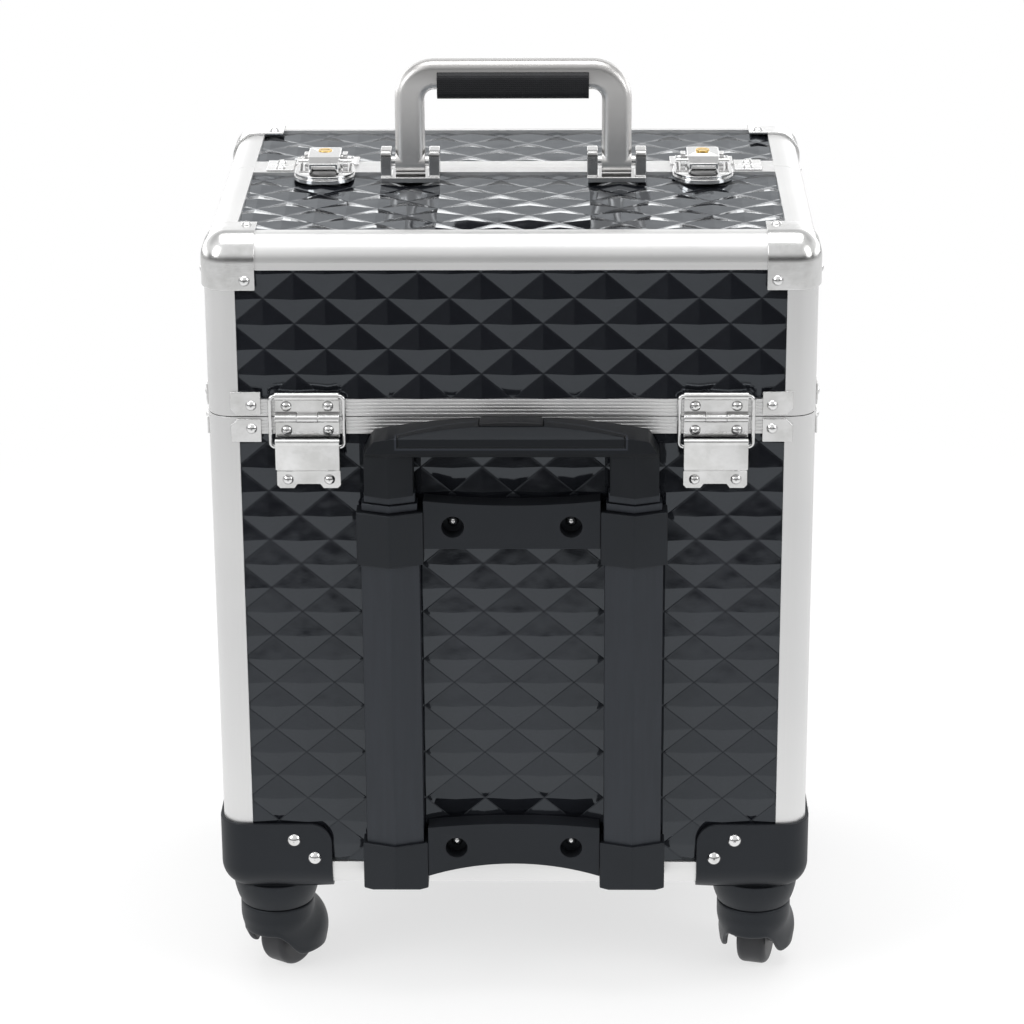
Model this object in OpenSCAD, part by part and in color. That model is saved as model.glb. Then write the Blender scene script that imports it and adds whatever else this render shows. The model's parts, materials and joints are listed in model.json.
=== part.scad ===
// Rolling makeup case: aluminium-edged hard case with two split lids, stay hinges,
// draw latches, a folding carry handle, a two-stage trolley and four swivel casters.
// Millimetres, +Z up, floor at z = 0, the trolley stands on the -Y face.

/* [Case] */
// Outside width of the case
case_w = 360; // [330:2:400]
// Outside depth of the case from the trolley face to the far face
case_d = 264; // [240:2:300]
// Height of the base from its underside to the split line
base_h = 311; // [290:1:350]
// Height of the lids above the split line
lid_h = 109; // [100:1:130]
// Distance of the top seam from the trolley face
seam_at = 157; // [150:1:166]
// Height of the underside above the floor
ride_h = 70; // [69:0.5:75]

/* [Profiles] */
// Width of a corner rail on each of its two faces
rail_w = 19; // [18:0.5:24]
// Thickness of the outer skin of a rail
rail_t = 2.6; // [2.5:0.1:3.2]
// Outside radius of a corner rail
rail_r = 14.5; // [12:0.5:16]
// Height of a rim rail at the split line
rim_h = 10.4; // [9:0.2:12]
// Width of a seam rail on the top
seam_rim = 12; // [10.5:0.5:14]
// Thickness of the web and inner flange of a rail
flange_t = 1.4; // [1:0.1:1.6]

/* [Panels] */
// Thickness of a wall panel behind its emboss
panel_t = 4; // [3:0.5:5]
// Height of the embossed diamonds
emboss = 2.3; // [1.2:0.1:2.4]
// Width of one diamond
diamond_w = 36.4; // [28:0.2:44]
// Height of one diamond
diamond_h = 31; // [24:0.5:40]
// Thickness of the lining
lining_t = 1.5; // [1:0.1:2.5]

/* [Hinges] */
// Distance of a stay hinge's middle from the end of the case
hinge_in = 59.5; // [58:0.5:62]
// Width of a hinge leaf
leaf_w = 38; // [34:1:40]
// Thickness of hinge and plate steel
leaf_t = 1.2; // [1:0.1:1.4]
// Distance of the hinge pin from the face
pin_out = 3; // [2.9:0.1:3.4]
// Radius of a hinge pin
pin_r = 1.2; // [1:0.05:1.3]
// Height of the stay loop's upper bar above the pin
loop_top = 13.7; // [13:0.1:14.5]
// Depth of the stay loop's lower bar below the pin
loop_low = 17.8; // [17:0.1:18.5]

/* [Trolley] */
// Distance of a trolley tube's middle from the end of the case
tube_in = 107.5; // [106:0.5:110]
// Width of the outer tube
tube_w = 35; // [34:0.5:36]
// Depth of the outer tube at its side edges
tube_side = 12; // [11.5:0.25:13]
// Depth of the outer tube at its front ridge
tube_ridge = 18; // [17:0.25:20]
// Depth of the trolley grip in front of the face
grip_d = 25; // [24:0.5:28]
// Travel of each telescopic stage
stage_travel = 185; // [150:1:190]
// Travel of the release button
button_travel = 4; // [3:0.25:4]

/* [Top hardware] */
// Width of the carry handle over its legs
handle_w = 144; // [136:1:150]
// Height of the carry handle above the top
handle_h = 74.5; // [70:0.5:80]
// Distance of a lock's middle from the end of the case
lock_in = 64; // [62:0.5:68]

/* [Casters] */
// Wheel diameter
wheel_d = 42; // [40:0.5:43]
// Wheel width
wheel_w = 18.5; // [16:0.5:19]
// Distance of the swivel axis from each outer face
swivel_in = 30; // [29:0.5:34]
// Trail of the wheel behind the swivel axis
trail = 12; // [10:0.5:13]
// Turn of each caster: near left, near right, far left, far right
caster_turn = [148, 166, -35, 28]; // [-180:1:180]

/* [Hidden] */
hinge_x = case_w / 2 - hinge_in;
lock_x = case_w / 2 - lock_in;
tube_x = case_w / 2 - tube_in;
$fn = 64;
arc_fn = 720;

// Colours of the finishes
black = "#1b1c1f";
dark_plastic = "#2e3033";
aluminium = "#d9dadb";
steel = "#b9bbbd";
chrome = "#d2d4d6";
brass = "#c9a24a";
cloth = "#26262b";

// Clearances: a loose gap between moving pieces, a slip fit of seated pieces, a running fit of pins
gap = 0.3;
slip = 0.1;
running = 0.05;

// Overshoot of a cut past the face that it opens
over = 1;

// Levels and the frame: the origin lies on the floor under the middle of the whole object
split_z = ride_h + base_h;
top_z = split_z + lid_h;
split_gap = 0.6;
half_w = case_w / 2;
half_d = case_d / 2;
keeper_out = 8.4;
roll_r = 1.9;
keeper_reach = keeper_out - leaf_t + roll_r;
shell_y = (grip_d - keeper_reach) / 2;

// The panel channel inside every rail, and the lining behind it
channel = panel_t + slip;
inner_in = rail_t + channel + flange_t;
lining_in = inner_in + slip;

// Puts a piece drawn about the middle of the case into the shared frame
module place() {
    translate([0, shell_y, 0]) children();
}

// Repeats a piece drawn at a corner, inward along +X and +Y, at the corners on the given sides
module at_corners(sides) {
    for (sx = [-1, 1], sy = sides)
        translate([sx * half_w, sy * half_d, 0])
            mirror([sx > 0 ? 1 : 0, 0, 0])
                mirror([0, sy > 0 ? 1 : 0, 0])
                    children();
}

// Draws a piece that stands on a Y face, outward along -Y with the face at y = 0; side -1 is the trolley face
module on_face(side) {
    rotate([0, 0, side > 0 ? 180 : 0])
        translate([0, -half_d, 0])
            children();
}

// Draws a piece on the top, with y counted from the trolley face and z from the top plane
module on_top() {
    translate([0, -half_d, top_z]) children();
}

// A rounded rectangle about the origin
module rounded_rect(w, d, r) {
    square([w - 2 * r, d], center = true);
    square([w, d - 2 * r], center = true);
    for (x = [-1, 1], y = [-1, 1])
        translate([x * (w / 2 - r), y * (d / 2 - r)]) circle(r);
}

// A square from the origin with its corner at the origin rounded
module corner_square(s, r) {
    intersection() {
        square(s);
        union() {
            translate([r, r]) circle(r);
            translate([r, 0]) square(s);
            translate([0, r]) square(s);
        }
    }
}

// A bar along X with a round section
module rod_x(r, l) {
    rotate([0, 90, 0]) cylinder(r = r, h = l, center = true);
}

// A prism along X from a profile given in y and z
module prism_x(points, l) {
    translate([-l / 2, 0, 0])
        rotate([90, 0, 90])
            linear_extrude(l) polygon(points);
}

// A dome head on the plane y = 0, standing out along -Y
module dome(d, h) {
    r = (d * d / 4 + h * h) / (2 * h);
    rotate([90, 0, 0])
        rotate_extrude()
            intersection() {
                translate([0, h - r]) circle(r);
                square([d, h]);
            }
}
rivet_d = 6.6;
rivet_h = 1.9;
module rivet() {
    dome(rivet_d, rivet_h);
}

// Section of a corner rail: a rounded outer angle, an inner angle that holds the panels, and a web
module rail_section() {
    difference() {
        corner_square(rail_w, rail_r);
        translate([rail_t, rail_t]) corner_square(rail_w, rail_r - rail_t);
    }
    difference() {
        translate([inner_in - flange_t, inner_in - flange_t]) square(rail_w - inner_in + flange_t);
        translate([inner_in, inner_in]) square(rail_w);
    }
    web = rail_r - (rail_r - rail_t / 2) * sin(45);
    translate([web, web]) square(inner_in - web);
}

// Section of a rim rail: a channel that takes the panel's edge, with ribs along its outer face
rib_groove = 0.4;
module rim_section(h) {
    difference() {
        square([inner_in, h]);
        translate([rail_t, flange_t]) square([channel, h]);
        for (k = [1:4])
            translate([-rib_groove, k * h / 5 - rib_groove])
                square([2 * rib_groove, 2 * rib_groove]);
    }
}

// A rail along X of length l about the middle, its section inward along +Y and up
module rail_x(l) {
    translate([-l / 2, 0, 0])
        rotate([90, 0, 90])
            linear_extrude(l) children();
}

// A rail along +Y from the origin, its section inward along +X and up
module rail_y(l) {
    translate([0, l, 0])
        rotate([90, 0, 0])
            linear_extrude(l) children();
}

// Places of the grooves' lines between a and b: both ends and every line of the pitch between them, counted
// from the line at c, that keeps clear of the ends
edge_clear = 0.2;
function first_line(a, c, pitch) = ceil((a - c) / pitch + edge_clear);
function last_line(b, c, pitch) = floor((b - c) / pitch - edge_clear);
function lines(a, b, c, pitch) = concat([a],
    [for (k = [first_line(a, c, pitch):last_line(b, c, pitch)]) c + k * pitch], [b]);

// A sheet of diamonds over w by h: each crossing of the grooves lies at the sheet's own plane, and each
// middle of a diamond stands out by the emboss height; (cx, cz) is one crossing. The flat margins, left,
// right, low and high, slide into the rails, and the emboss rises from them over a short ramp
ramp = 0.8;
module diamond_panel(w, h, margin, cx, cz) {
    x0 = margin[0];
    x1 = w - margin[1];
    z0 = margin[2];
    z1 = h - margin[3];
    xs = concat([x0], lines(x0 + ramp, x1 - ramp, cx, diamond_w / 2), [x1]);
    zs = concat([z0], lines(z0 + ramp, z1 - ramp, cz, diamond_h / 2), [z1]);
    parity = first_line(x0 + ramp, cx, diamond_w / 2) + first_line(z0 + ramp, cz, diamond_h / 2);
    ni = len(xs) - 1;
    nj = len(zs) - 1;
    inside = function(i, j) i > 0 && i < ni && j > 0 && j < nj;
    odd = function(i, j) abs(i + j + parity) % 2;
    at = function(i, j) i * (nj + 1) + j;
    front = [for (i = [0:ni], j = [0:nj]) [xs[i], inside(i, j) ? -emboss * odd(i, j) : 0, zs[j]]];
    n = len(front);
    rim = [[0, 0, 0], [0, 0, h], [w, 0, h], [w, 0, 0]];
    back = [for (p = rim) p + [0, panel_t, 0]];
    facets = [for (i = [0:ni - 1], j = [0:nj - 1], k = [0, 1])
        odd(i, j) == 0
            ? (k == 0 ? [at(i, j), at(i, j + 1), at(i + 1, j + 1)]
                      : [at(i, j), at(i + 1, j + 1), at(i + 1, j)])
            : (k == 0 ? [at(i, j), at(i, j + 1), at(i + 1, j)]
                      : [at(i, j + 1), at(i + 1, j + 1), at(i + 1, j)])];
    margins = [
        concat([n, n + 1], [for (j = [nj:-1:0]) at(0, j)]),
        concat([n + 1, n + 2], [for (i = [ni:-1:0]) at(i, nj)]),
        concat([n + 2, n + 3], [for (j = [0:nj]) at(ni, j)]),
        concat([n + 3, n], [for (i = [0:ni]) at(i, 0)])];
    sides = [for (k = [0:3]) let (m = (k + 1) % 4) [n + m, n + k, n + 4 + k, n + 4 + m]];
    polyhedron(concat(front, rim, back), concat(facets, margins, sides, [[n + 7, n + 6, n + 5, n + 4]]));
}

// Panel edges: each panel ends where the rail's corner starts to curve, or in a rim's channel
wide = case_w - 2 * rail_r;
deep = case_d - 2 * rail_r;
edge = split_gap / 2 + flange_t + slip;
wall_low = ride_h + rail_r;
wall_top = split_z - edge;
lid_low = split_z + edge;
lid_top = top_z - rail_r;

// Flat margins of a panel: in a corner rail, in a rim rail and in a seam rail
in_rail = rail_w - rail_r + slip;
in_rim = rim_h - flange_t;
in_seam = seam_rim - flange_t;

// One crossing of the grooves on each kind of panel, from the middle and from the split line or the face
cross_x = 145;
cross_base = -48;
cross_lid = 72;
cross_top = [135.4, 88];

// A wall across the width on one of the two Y faces, with the margins of its low and high edges
module cross_wall(side, z0, z1, low, high, cross_z) {
    on_face(side)
        translate([-wide / 2, rail_t, z0])
            diamond_panel(wide, z1 - z0, [in_rail, in_rail, low, high], wide / 2 - cross_x, cross_z - z0);
}

// The two walls along the depth, of length l from the curve of the corner rail on one Y face; end is the
// margin of the edge away from that face
module side_walls(side, l, z0, z1, end, low, high, cross_z) {
    on_face(side)
        for (m = [0, 1])
            mirror([m, 0, 0])
                translate([-half_w + rail_t, rail_r + l, z0])
                    rotate([0, 0, -90])
                        diamond_panel(l, z1 - z0, [end, in_rail, low, high], diamond_w / 2, cross_z - z0);
}

module base_walls() {
    color(black) {
        for (side = [-1, 1])
            cross_wall(side, wall_low, wall_top, in_rail, in_rim, split_z + cross_base);
        side_walls(-1, deep, wall_low, wall_top, in_rail, in_rail, in_rim, split_z + cross_base);
    }
}

module bottom_panel() {
    color(black)
        translate([-wide / 2, -deep / 2, ride_h + rail_t])
            cube([wide, deep, panel_t]);
}

module base_lining() {
    w = case_w - 2 * lining_in;
    d = case_d - 2 * lining_in;
    h = base_h - lining_in - split_gap;
    color(cloth)
        translate([0, 0, ride_h + lining_in])
            difference() {
                translate([-w / 2, -d / 2, 0]) cube([w, d, h]);
                translate([-w / 2 + lining_t, -d / 2 + lining_t, lining_t])
                    cube([w - 2 * lining_t, d - 2 * lining_t, h]);
            }
}

module base_frame_rails() {
    color(aluminium) {
        at_corners([-1, 1])
            translate([0, 0, ride_h + rail_w])
                linear_extrude(base_h - rail_w - split_gap / 2) rail_section();
        for (side = [-1, 1]) {
            on_face(side)
                translate([0, 0, ride_h]) rail_x(case_w - 2 * rail_w) rail_section();
            mirror([side > 0 ? 1 : 0, 0, 0])
                translate([-half_w, -half_d + rail_w, ride_h])
                    rail_y(case_d - 2 * rail_w) rail_section();
        }
    }
}

// The rim of the base hangs down from the split line
module base_rim_rails() {
    color(aluminium)
        translate([0, 0, split_z - split_gap / 2])
            mirror([0, 0, 1])
                for (side = [-1, 1]) {
                    on_face(side) rail_x(case_w - 2 * rail_w) rim_section(rim_h);
                    mirror([side > 0 ? 1 : 0, 0, 0])
                        translate([-half_w, -half_d + rail_w, 0])
                            rail_y(case_d - 2 * rail_w) rim_section(rim_h);
                }
}

// A corner plate that ties a rim to its corner rail, in the quadrant of +X and +Z
plate_from = 14.2;
plate_w = 18;
plate_low = 1.2;
plate_h = 14.4;
plate_cut = 4;
plate_rivet = [12.3, 6];
module rim_plate() {
    translate([plate_from, 0, plate_low])
        rotate([90, 0, 0])
            linear_extrude(leaf_t)
                polygon([[plate_cut, 0], [plate_w, 0], [plate_w, plate_h], [0, plate_h], [0, plate_cut]]);
}
module rim_plate_rivet() {
    translate([plate_from + plate_rivet[0], -leaf_t, plate_low + plate_rivet[1]]) rivet();
}

// Draws a piece for the Y face and its copy for the X face of one corner
module both_faces() {
    children();
    mirror([1, -1, 0]) children();
}
module rim_corners(sides, up) {
    translate([0, 0, split_z])
        mirror([0, 0, up ? 0 : 1])
            at_corners(sides) both_faces() children();
}
module base_rim_plates() {
    color(steel) rim_corners([-1, 1], false) rim_plate();
}

// The two hinges of a face, with z counted from the split line
module hinge_spots(side) {
    on_face(side)
        for (s = [-1, 1])
            translate([s * hinge_x, 0, split_z]) children();
}
knuckle_wall = 1.3;
knuckle_r = pin_r + knuckle_wall;
knuckle_mid = 12.2;
knuckle_clear = knuckle_r + gap + 4 * slip;
leaf_rivet_x = 12.3;
leaf_rivet_up = 6.9;
leaf_rivet_low = -8.1;
leaf_end = 12.6;
module upper_leaf() {
    difference() {
        union() {
            translate([-leaf_w / 2, -leaf_t, knuckle_clear]) cube([leaf_w, leaf_t, loop_top - knuckle_clear]);
            translate([-knuckle_mid / 2, -leaf_t, 0]) cube([knuckle_mid, leaf_t, loop_top]);
            translate([0, -pin_out, 0]) rod_x(knuckle_r, knuckle_mid);
            translate([0, -pin_out, loop_top]) rod_x(knuckle_r, leaf_w);
        }
        for (z = [0, loop_top])
            translate([0, -pin_out, z]) rod_x(pin_r + running, leaf_w + over);
    }
}
module hinge_lower_leaves() {
    outer = (leaf_w - knuckle_mid) / 2 - gap;
    color(steel)
        for (side = [-1, 1])
            hinge_spots(side)
                difference() {
                    union() {
                        translate([-leaf_w / 2, -leaf_t, -leaf_end])
                            cube([leaf_w, leaf_t, leaf_end - knuckle_clear]);
                        for (s = [-1, 1]) {
                            translate([s * (leaf_w - outer) / 2, -pin_out, 0]) rod_x(knuckle_r, outer);
                            translate([s * (leaf_w - outer) / 2 - outer / 2, -leaf_t, -leaf_end])
                                cube([outer, leaf_t, leaf_end]);
                        }
                    }
                    translate([0, -pin_out, 0]) rod_x(pin_r, leaf_w + over);
                }
}

// The keeper bends out from its riveted foot into a pocket for the stay loop's lower bar
keeper_low = -44.7;
keeper_foot = -34;
keeper_bend = -30.6;
keeper_top = -13.4;
keeper_rivet = -39.2;
keeper_notch = 6.8;
keeper_notch_h = 2.6;
module hinge_keepers() {
    slant = (keeper_bend - keeper_foot) / (keeper_out - leaf_t);
    inside = keeper_out - leaf_t;
    lip = slant * leaf_t;
    color(steel)
        for (side = [-1, 1])
            hinge_spots(side)
                difference() {
                    union() {
                        prism_x([[0, keeper_low], [-leaf_t, keeper_low], [-leaf_t, keeper_foot],
                            [-keeper_out, keeper_bend], [-keeper_out, keeper_top], [-inside, keeper_top],
                            [-inside, keeper_bend + lip], [0, keeper_foot + lip]], leaf_w);
                        translate([0, -inside, keeper_top]) rod_x(roll_r, leaf_w);
                    }
                    translate([0, leaf_t, keeper_low])
                        rotate([90, 0, 0])
                            linear_extrude(3 * leaf_t)
                                polygon([[-keeper_notch - keeper_notch_h, -over],
                                    [-keeper_notch, keeper_notch_h], [keeper_notch, keeper_notch_h],
                                    [keeper_notch + keeper_notch_h, -over]]);
                    for (s = [-1, 1])
                        translate([s * leaf_w / 2, 0, keeper_low])
                            rotate([0, 45, 0])
                                cube([keeper_notch_h, 4 * leaf_t, keeper_notch_h], center = true);
                }
}
module hinge_pins() {
    color(steel)
        for (side = [-1, 1])
            hinge_spots(side)
                translate([0, -pin_out, 0]) rod_x(pin_r, leaf_w);
}

// The stay loop: a closed wire whose upper bar turns in the leaf and whose lower bar rides in the keeper
loop_half = 21.8;
loop_bend = 2.7;
module stay_loop() {
    straight = loop_half - loop_bend;
    translate([0, -pin_out, 0]) {
        for (z = [-loop_low, loop_top])
            translate([0, 0, z]) rod_x(pin_r, 2 * straight);
        for (s = [-1, 1]) {
            translate([s * loop_half, 0, -loop_low + loop_bend])
                cylinder(r = pin_r, h = loop_low + loop_top - 2 * loop_bend);
            translate([s * straight, 0, loop_top - loop_bend])
                mirror([s > 0 ? 0 : 1, 0, 0])
                    rotate([90, 0, 0])
                        rotate_extrude(angle = 90) translate([loop_bend, 0]) circle(pin_r);
            translate([s * straight, 0, -loop_low + loop_bend])
                mirror([s > 0 ? 0 : 1, 0, 0])
                    rotate([-90, 0, 0])
                        rotate_extrude(angle = 90) translate([loop_bend, 0]) circle(pin_r);
        }
    }
}
module near_stay_loops() {
    color(chrome) hinge_spots(-1) stay_loop();
}
module far_stay_loops() {
    color(chrome) hinge_spots(1) stay_loop();
}

// A shell round the outside of a three-edged corner, drawn inward along +X, +Y and -Z from the corner:
// a ball over a column where the edges are rounded, and plates that run l along the two faces and h down
module corner_shell(l, h, t) {
    translate([rail_r, rail_r, 0])
        rotate([0, 0, 180])
            rotate_extrude(angle = 90) mirror([1, 0]) translate([-rail_r, 0]) shell_section(h, t);
    translate([rail_r, 0, 0]) rotate([90, 0, 90]) linear_extrude(l - rail_r) shell_section(h, t);
    mirror([1, -1, 0])
        translate([rail_r, 0, 0]) rotate([90, 0, 90]) linear_extrude(l - rail_r) shell_section(h, t);
    translate([rail_r, rail_r, 0]) cube([l - rail_r, l - rail_r, t]);
}
// Section of that shell across a face: a plate down the face and a quarter bend over the edge
module shell_section(h, t) {
    translate([-t, -h]) square([t, h - rail_r]);
    intersection() {
        difference() {
            translate([rail_r, -rail_r]) circle(rail_r + t);
            translate([rail_r, -rail_r]) circle(rail_r);
        }
        translate([-t, -rail_r]) square(rail_r + t);
    }
}
cap_l = 31;
cap_t = 1.6;
cap_rivet = 25;
module corner_caps(sides) {
    translate([0, 0, top_z]) at_corners(sides) corner_shell(cap_l, cap_l, cap_t);
}
module cap_rivets(sides) {
    translate([0, 0, top_z])
        at_corners(sides) {
            both_faces() translate([cap_rivet, -cap_t, -cap_rivet]) rivet();
            translate([cap_rivet, cap_rivet, cap_t]) rotate([-90, 0, 0]) rivet();
        }
}

// The lids. Each is drawn from its own Y face; span() is the distance from that face to the top seam
function span(side) = side < 0 ? seam_at : case_d - seam_at;

module lid_walls(side) {
    color(black) {
        cross_wall(side, lid_low, lid_top, in_rim, in_rail, split_z + cross_lid);
        side_walls(side, span(side) - rail_r - edge, lid_low, lid_top, in_seam, in_rim, in_rail,
            split_z + cross_lid);
    }
}
module lid_top_panel(side) {
    color(black)
        on_face(side)
            translate([-wide / 2, rail_r, top_z - rail_t])
                rotate([-90, 0, 0])
                    diamond_panel(wide, span(side) - rail_r - edge, [in_rail, in_rail, in_rail, in_seam],
                        wide / 2 - cross_top[0], cross_top[1] - rail_r);
}
module lid_lining(side) {
    w = case_w - 2 * lining_in;
    d = span(side) - split_gap - lining_in;
    h = lid_h - split_gap - lining_in;
    color(cloth)
        on_face(side)
            translate([-w / 2, lining_in, split_z + split_gap])
                difference() {
                    cube([w, d, h]);
                    translate([lining_t, lining_t, -over]) cube([w - 2 * lining_t, d, h + over - lining_t]);
                }
}
module lid_frame_rails(side) {
    color(aluminium) {
        at_corners([side])
            translate([0, 0, split_z + split_gap / 2])
                linear_extrude(lid_h - rail_w - split_gap / 2) rail_section();
        on_face(side)
            translate([0, 0, top_z])
                mirror([0, 0, 1]) {
                    rail_x(case_w - 2 * rail_w) rail_section();
                    for (m = [0, 1])
                        mirror([m, 0, 0])
                            translate([-half_w, rail_w, 0])
                                rail_y(span(side) - rail_w - split_gap / 2) rail_section();
                }
    }
}
module lid_rim_rails(side) {
    seam = span(side) - split_gap / 2;
    color(aluminium)
        on_face(side) {
            translate([0, 0, split_z + split_gap / 2]) rail_x(case_w - 2 * rail_w) rim_section(rim_h);
            translate([0, seam, top_z]) mirror([0, 1, 1]) rail_x(case_w - 2 * rail_w) rim_section(seam_rim);
            for (m = [0, 1])
                mirror([m, 0, 0]) {
                    translate([-half_w, rail_w, split_z + split_gap / 2])
                        rail_y(seam - rail_w) rim_section(rim_h);
                    translate([-half_w, seam, split_z + split_gap / 2 + rim_h + slip])
                        mirror([0, 1, 0])
                            linear_extrude(lid_h - rail_w - rim_h - split_gap / 2 - 2 * slip)
                                rim_section(seam_rim);
                }
        }
}

// A clip at each end of the seam, one half on each lid
clip_x = 136;
clip_w = 17;
clip_d = 10.5;
module seam_clips(side) {
    on_face(side)
        for (m = [0, 1])
            mirror([m, 0, 0])
                translate([clip_x, span(side) - split_gap - clip_d, top_z]) cube([clip_w, clip_d, leaf_t]);
}
module seam_clip_rivets(side) {
    on_face(side)
        for (m = [0, 1])
            mirror([m, 0, 0])
                translate([clip_x + clip_w / 2, span(side) - split_gap - clip_d / 2, top_z + leaf_t])
                    rotate([-90, 0, 0]) rivet();
}
module lid_plates(side) {
    color(steel) {
        rim_corners([side], true) rim_plate();
        seam_clips(side);
    }
}
module lid_rivets(side) {
    color(chrome) {
        rim_corners([side], true) rim_plate_rivet();
        cap_rivets([side]);
        seam_clip_rivets(side);
        hinge_spots(side) leaf_rivets(leaf_rivet_up);
    }
}
module leaf_rivets(z) {
    for (s = [-1, 1])
        translate([s * leaf_rivet_x, -leaf_t, z]) rivet();
}
module near_lid_walls() {
    lid_walls(-1);
}
module near_lid_top() {
    lid_top_panel(-1);
}
module near_lid_lining() {
    lid_lining(-1);
}
module near_lid_frame_rails() {
    lid_frame_rails(-1);
}
module near_lid_rim_rails() {
    lid_rim_rails(-1);
}
module near_lid_corner_caps() {
    color(steel) corner_caps([-1]);
}
module near_lid_plates() {
    lid_plates(-1);
}
module near_hinge_leaves() {
    color(steel) hinge_spots(-1) upper_leaf();
}
module near_lid_rivets() {
    lid_rivets(-1);
}
module far_lid_walls() {
    lid_walls(1);
}
module far_lid_top() {
    lid_top_panel(1);
}
module far_lid_lining() {
    lid_lining(1);
}
module far_lid_frame_rails() {
    lid_frame_rails(1);
}
module far_lid_rim_rails() {
    lid_rim_rails(1);
}
module far_lid_corner_caps() {
    color(steel) corner_caps([1]);
}
module far_lid_plates() {
    lid_plates(1);
}
module far_hinge_leaves() {
    color(steel) hinge_spots(1) upper_leaf();
}
module far_lid_rivets() {
    lid_rivets(1);
}

// Caster housings wrap the bottom corners and end in a round neck for the swivel stud
housing_l = 67.5;
housing_h = 45.3;
housing_t = 2.2;
housing_round = 13;
neck_h = 19;
neck_z = ride_h - neck_h;
neck_top_r = 24.5;
neck_low_r = 20.5;
stud_r = 4;
stud_h = 12;
housing_rivets = [[44.2, 34.4], [56.7, 22.3]];
housing_rivet_d = 8.6;
housing_rivet_h = 2.4;
module housing_trim() {
    translate([housing_l, over, ride_h + housing_h])
        rotate([90, 0, 0])
            linear_extrude(housing_t + 2 * over)
                difference() {
                    translate([-housing_round, -housing_round]) square(housing_round + over);
                    translate([-housing_round, -housing_round]) circle(housing_round);
                }
}
module neck_section() {
    rise = neck_h - housing_t / 2;
    drop = neck_top_r - neck_low_r;
    bowl_r = (rise * rise + drop * drop) / (2 * drop);
    intersection() {
        square([neck_top_r + over, rise]);
        translate([neck_top_r - bowl_r, rise]) circle(bowl_r, $fn = arc_fn);
    }
}
module caster_housings() {
    color(dark_plastic)
        at_corners([-1, 1])
            difference() {
                union() {
                    translate([0, 0, ride_h]) mirror([0, 0, 1]) corner_shell(housing_l, housing_h, housing_t);
                    translate([swivel_in, swivel_in, neck_z]) rotate_extrude() neck_section();
                }
                both_faces() housing_trim();
                translate([swivel_in, swivel_in, neck_z - over])
                    cylinder(r = stud_r + running, h = stud_h + 2 * over);
            }
}
module base_rivets() {
    color(chrome) {
        for (side = [-1, 1])
            hinge_spots(side) {
                leaf_rivets(leaf_rivet_low);
                leaf_rivets(keeper_rivet);
            }
        rim_corners([-1, 1], false) rim_plate_rivet();
        at_corners([-1, 1])
            both_faces()
                for (p = housing_rivets)
                    translate([p[0], -housing_t, ride_h + p[1]]) dome(housing_rivet_d, housing_rivet_h);
    }
}

// Casters: the fork turns on its stud in the housing's bore. Its hood is a ball round the wheel's axle below
// a round neck; a slanted plane opens it on the side away from the trail, and the wheel turns in the slot
axle_z = wheel_d / 2;
axle_r = 3;
axle_l = 33.4;
fork_clear = 0.8;
fork_top = neck_z - fork_clear;
fork_r = 20.5;
fork_low = 9;
hood_r = 24.6;
hood_rim = 36;
hood_slant = 34;
wheel_clear = 1.6;
tread_round = 4;
function caster_x(i) = (i % 2 == 0 ? -1 : 1) * (half_w - swivel_in);
function caster_y(i) = (i < 2 ? -1 : 1) * (half_d - swivel_in);
module at_caster(i) {
    translate([caster_x(i), caster_y(i), 0]) rotate([0, 0, caster_turn[i]]) children();
}
module caster_fork(i) {
    big = 4 * hood_r;
    color(dark_plastic)
        at_caster(i) {
            difference() {
                union() {
                    translate([0, 0, axle_z]) cylinder(r = fork_r, h = fork_top - axle_z);
                    translate([0, -trail, axle_z]) sphere(hood_r);
                }
                translate([0, -trail, axle_z]) {
                    rod_x(axle_z + wheel_clear, wheel_w + wheel_clear);
                    rod_x(axle_r + running, axle_l + gap);
                }
                translate([-big / 2, fork_r, hood_rim])
                    rotate([hood_slant, 0, 0])
                        translate([0, -big, -big]) cube([big, 2 * big, big]);
                translate([-big / 2, -big, fork_low - big]) cube([big, 2 * big, big]);
            }
            translate([0, 0, fork_top]) cylinder(r = stud_r, h = stud_h);
        }
}
module caster_wheel(i) {
    r = wheel_d / 2;
    w = wheel_w / 2;
    color(black)
        at_caster(i)
            translate([0, -trail, axle_z])
                rotate([0, 90, 0]) {
                    rotate_extrude()
                        union() {
                            translate([0, -w]) square([r - tread_round, wheel_w]);
                            for (s = [-1, 1])
                                translate([r - tread_round, s * (w - tread_round)]) circle(tread_round);
                            translate([0, tread_round - w]) square([r, wheel_w - 2 * tread_round]);
                        }
                    cylinder(r = axle_r, h = axle_l, center = true);
                }
}

// The trolley, on the trolley face with z counted from the split line
module trolley() {
    on_face(-1) translate([0, 0, split_z]) children();
}
module both_tubes() {
    for (s = [-1, 1])
        translate([s * tube_x, 0, 0]) children();
}

// Outline of the trolley tube, flat at the back with a ridge along its front, inset by c
tube_slope = 2 * (tube_ridge - tube_side) / tube_w;
function tube_depth(x, c) = tube_ridge - tube_slope * x - c * sqrt(1 + tube_slope * tube_slope);
function tube_outline(c) = let (half = tube_w / 2 - c, back = max(c, 0))
    [[-half, -back], [half, -back], [half, -tube_depth(half, c)], [0, -tube_depth(0, c)],
        [-half, -tube_depth(half, c)]];
module tube_block(c, z0, z1) {
    translate([0, 0, z0]) linear_extrude(z1 - z0) polygon(tube_outline(c));
}
module tube(c, wall, z0, z1) {
    difference() {
        tube_block(c, z0, z1);
        tube_block(c + wall, z0 - over, z1 + over);
    }
}
outer_wall = 1.6;
stage_wall = 1.2;
mid_in = outer_wall + gap;
inner_in_tube = mid_in + stage_wall + gap;
tube_low = -300;
tube_high = -57.2;
head_low = -88.9;
head_high = -55.4;
head_out = -2.35;
foot_low = -304.5;
foot_high = -272.4;
foot_round = 150;
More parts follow.
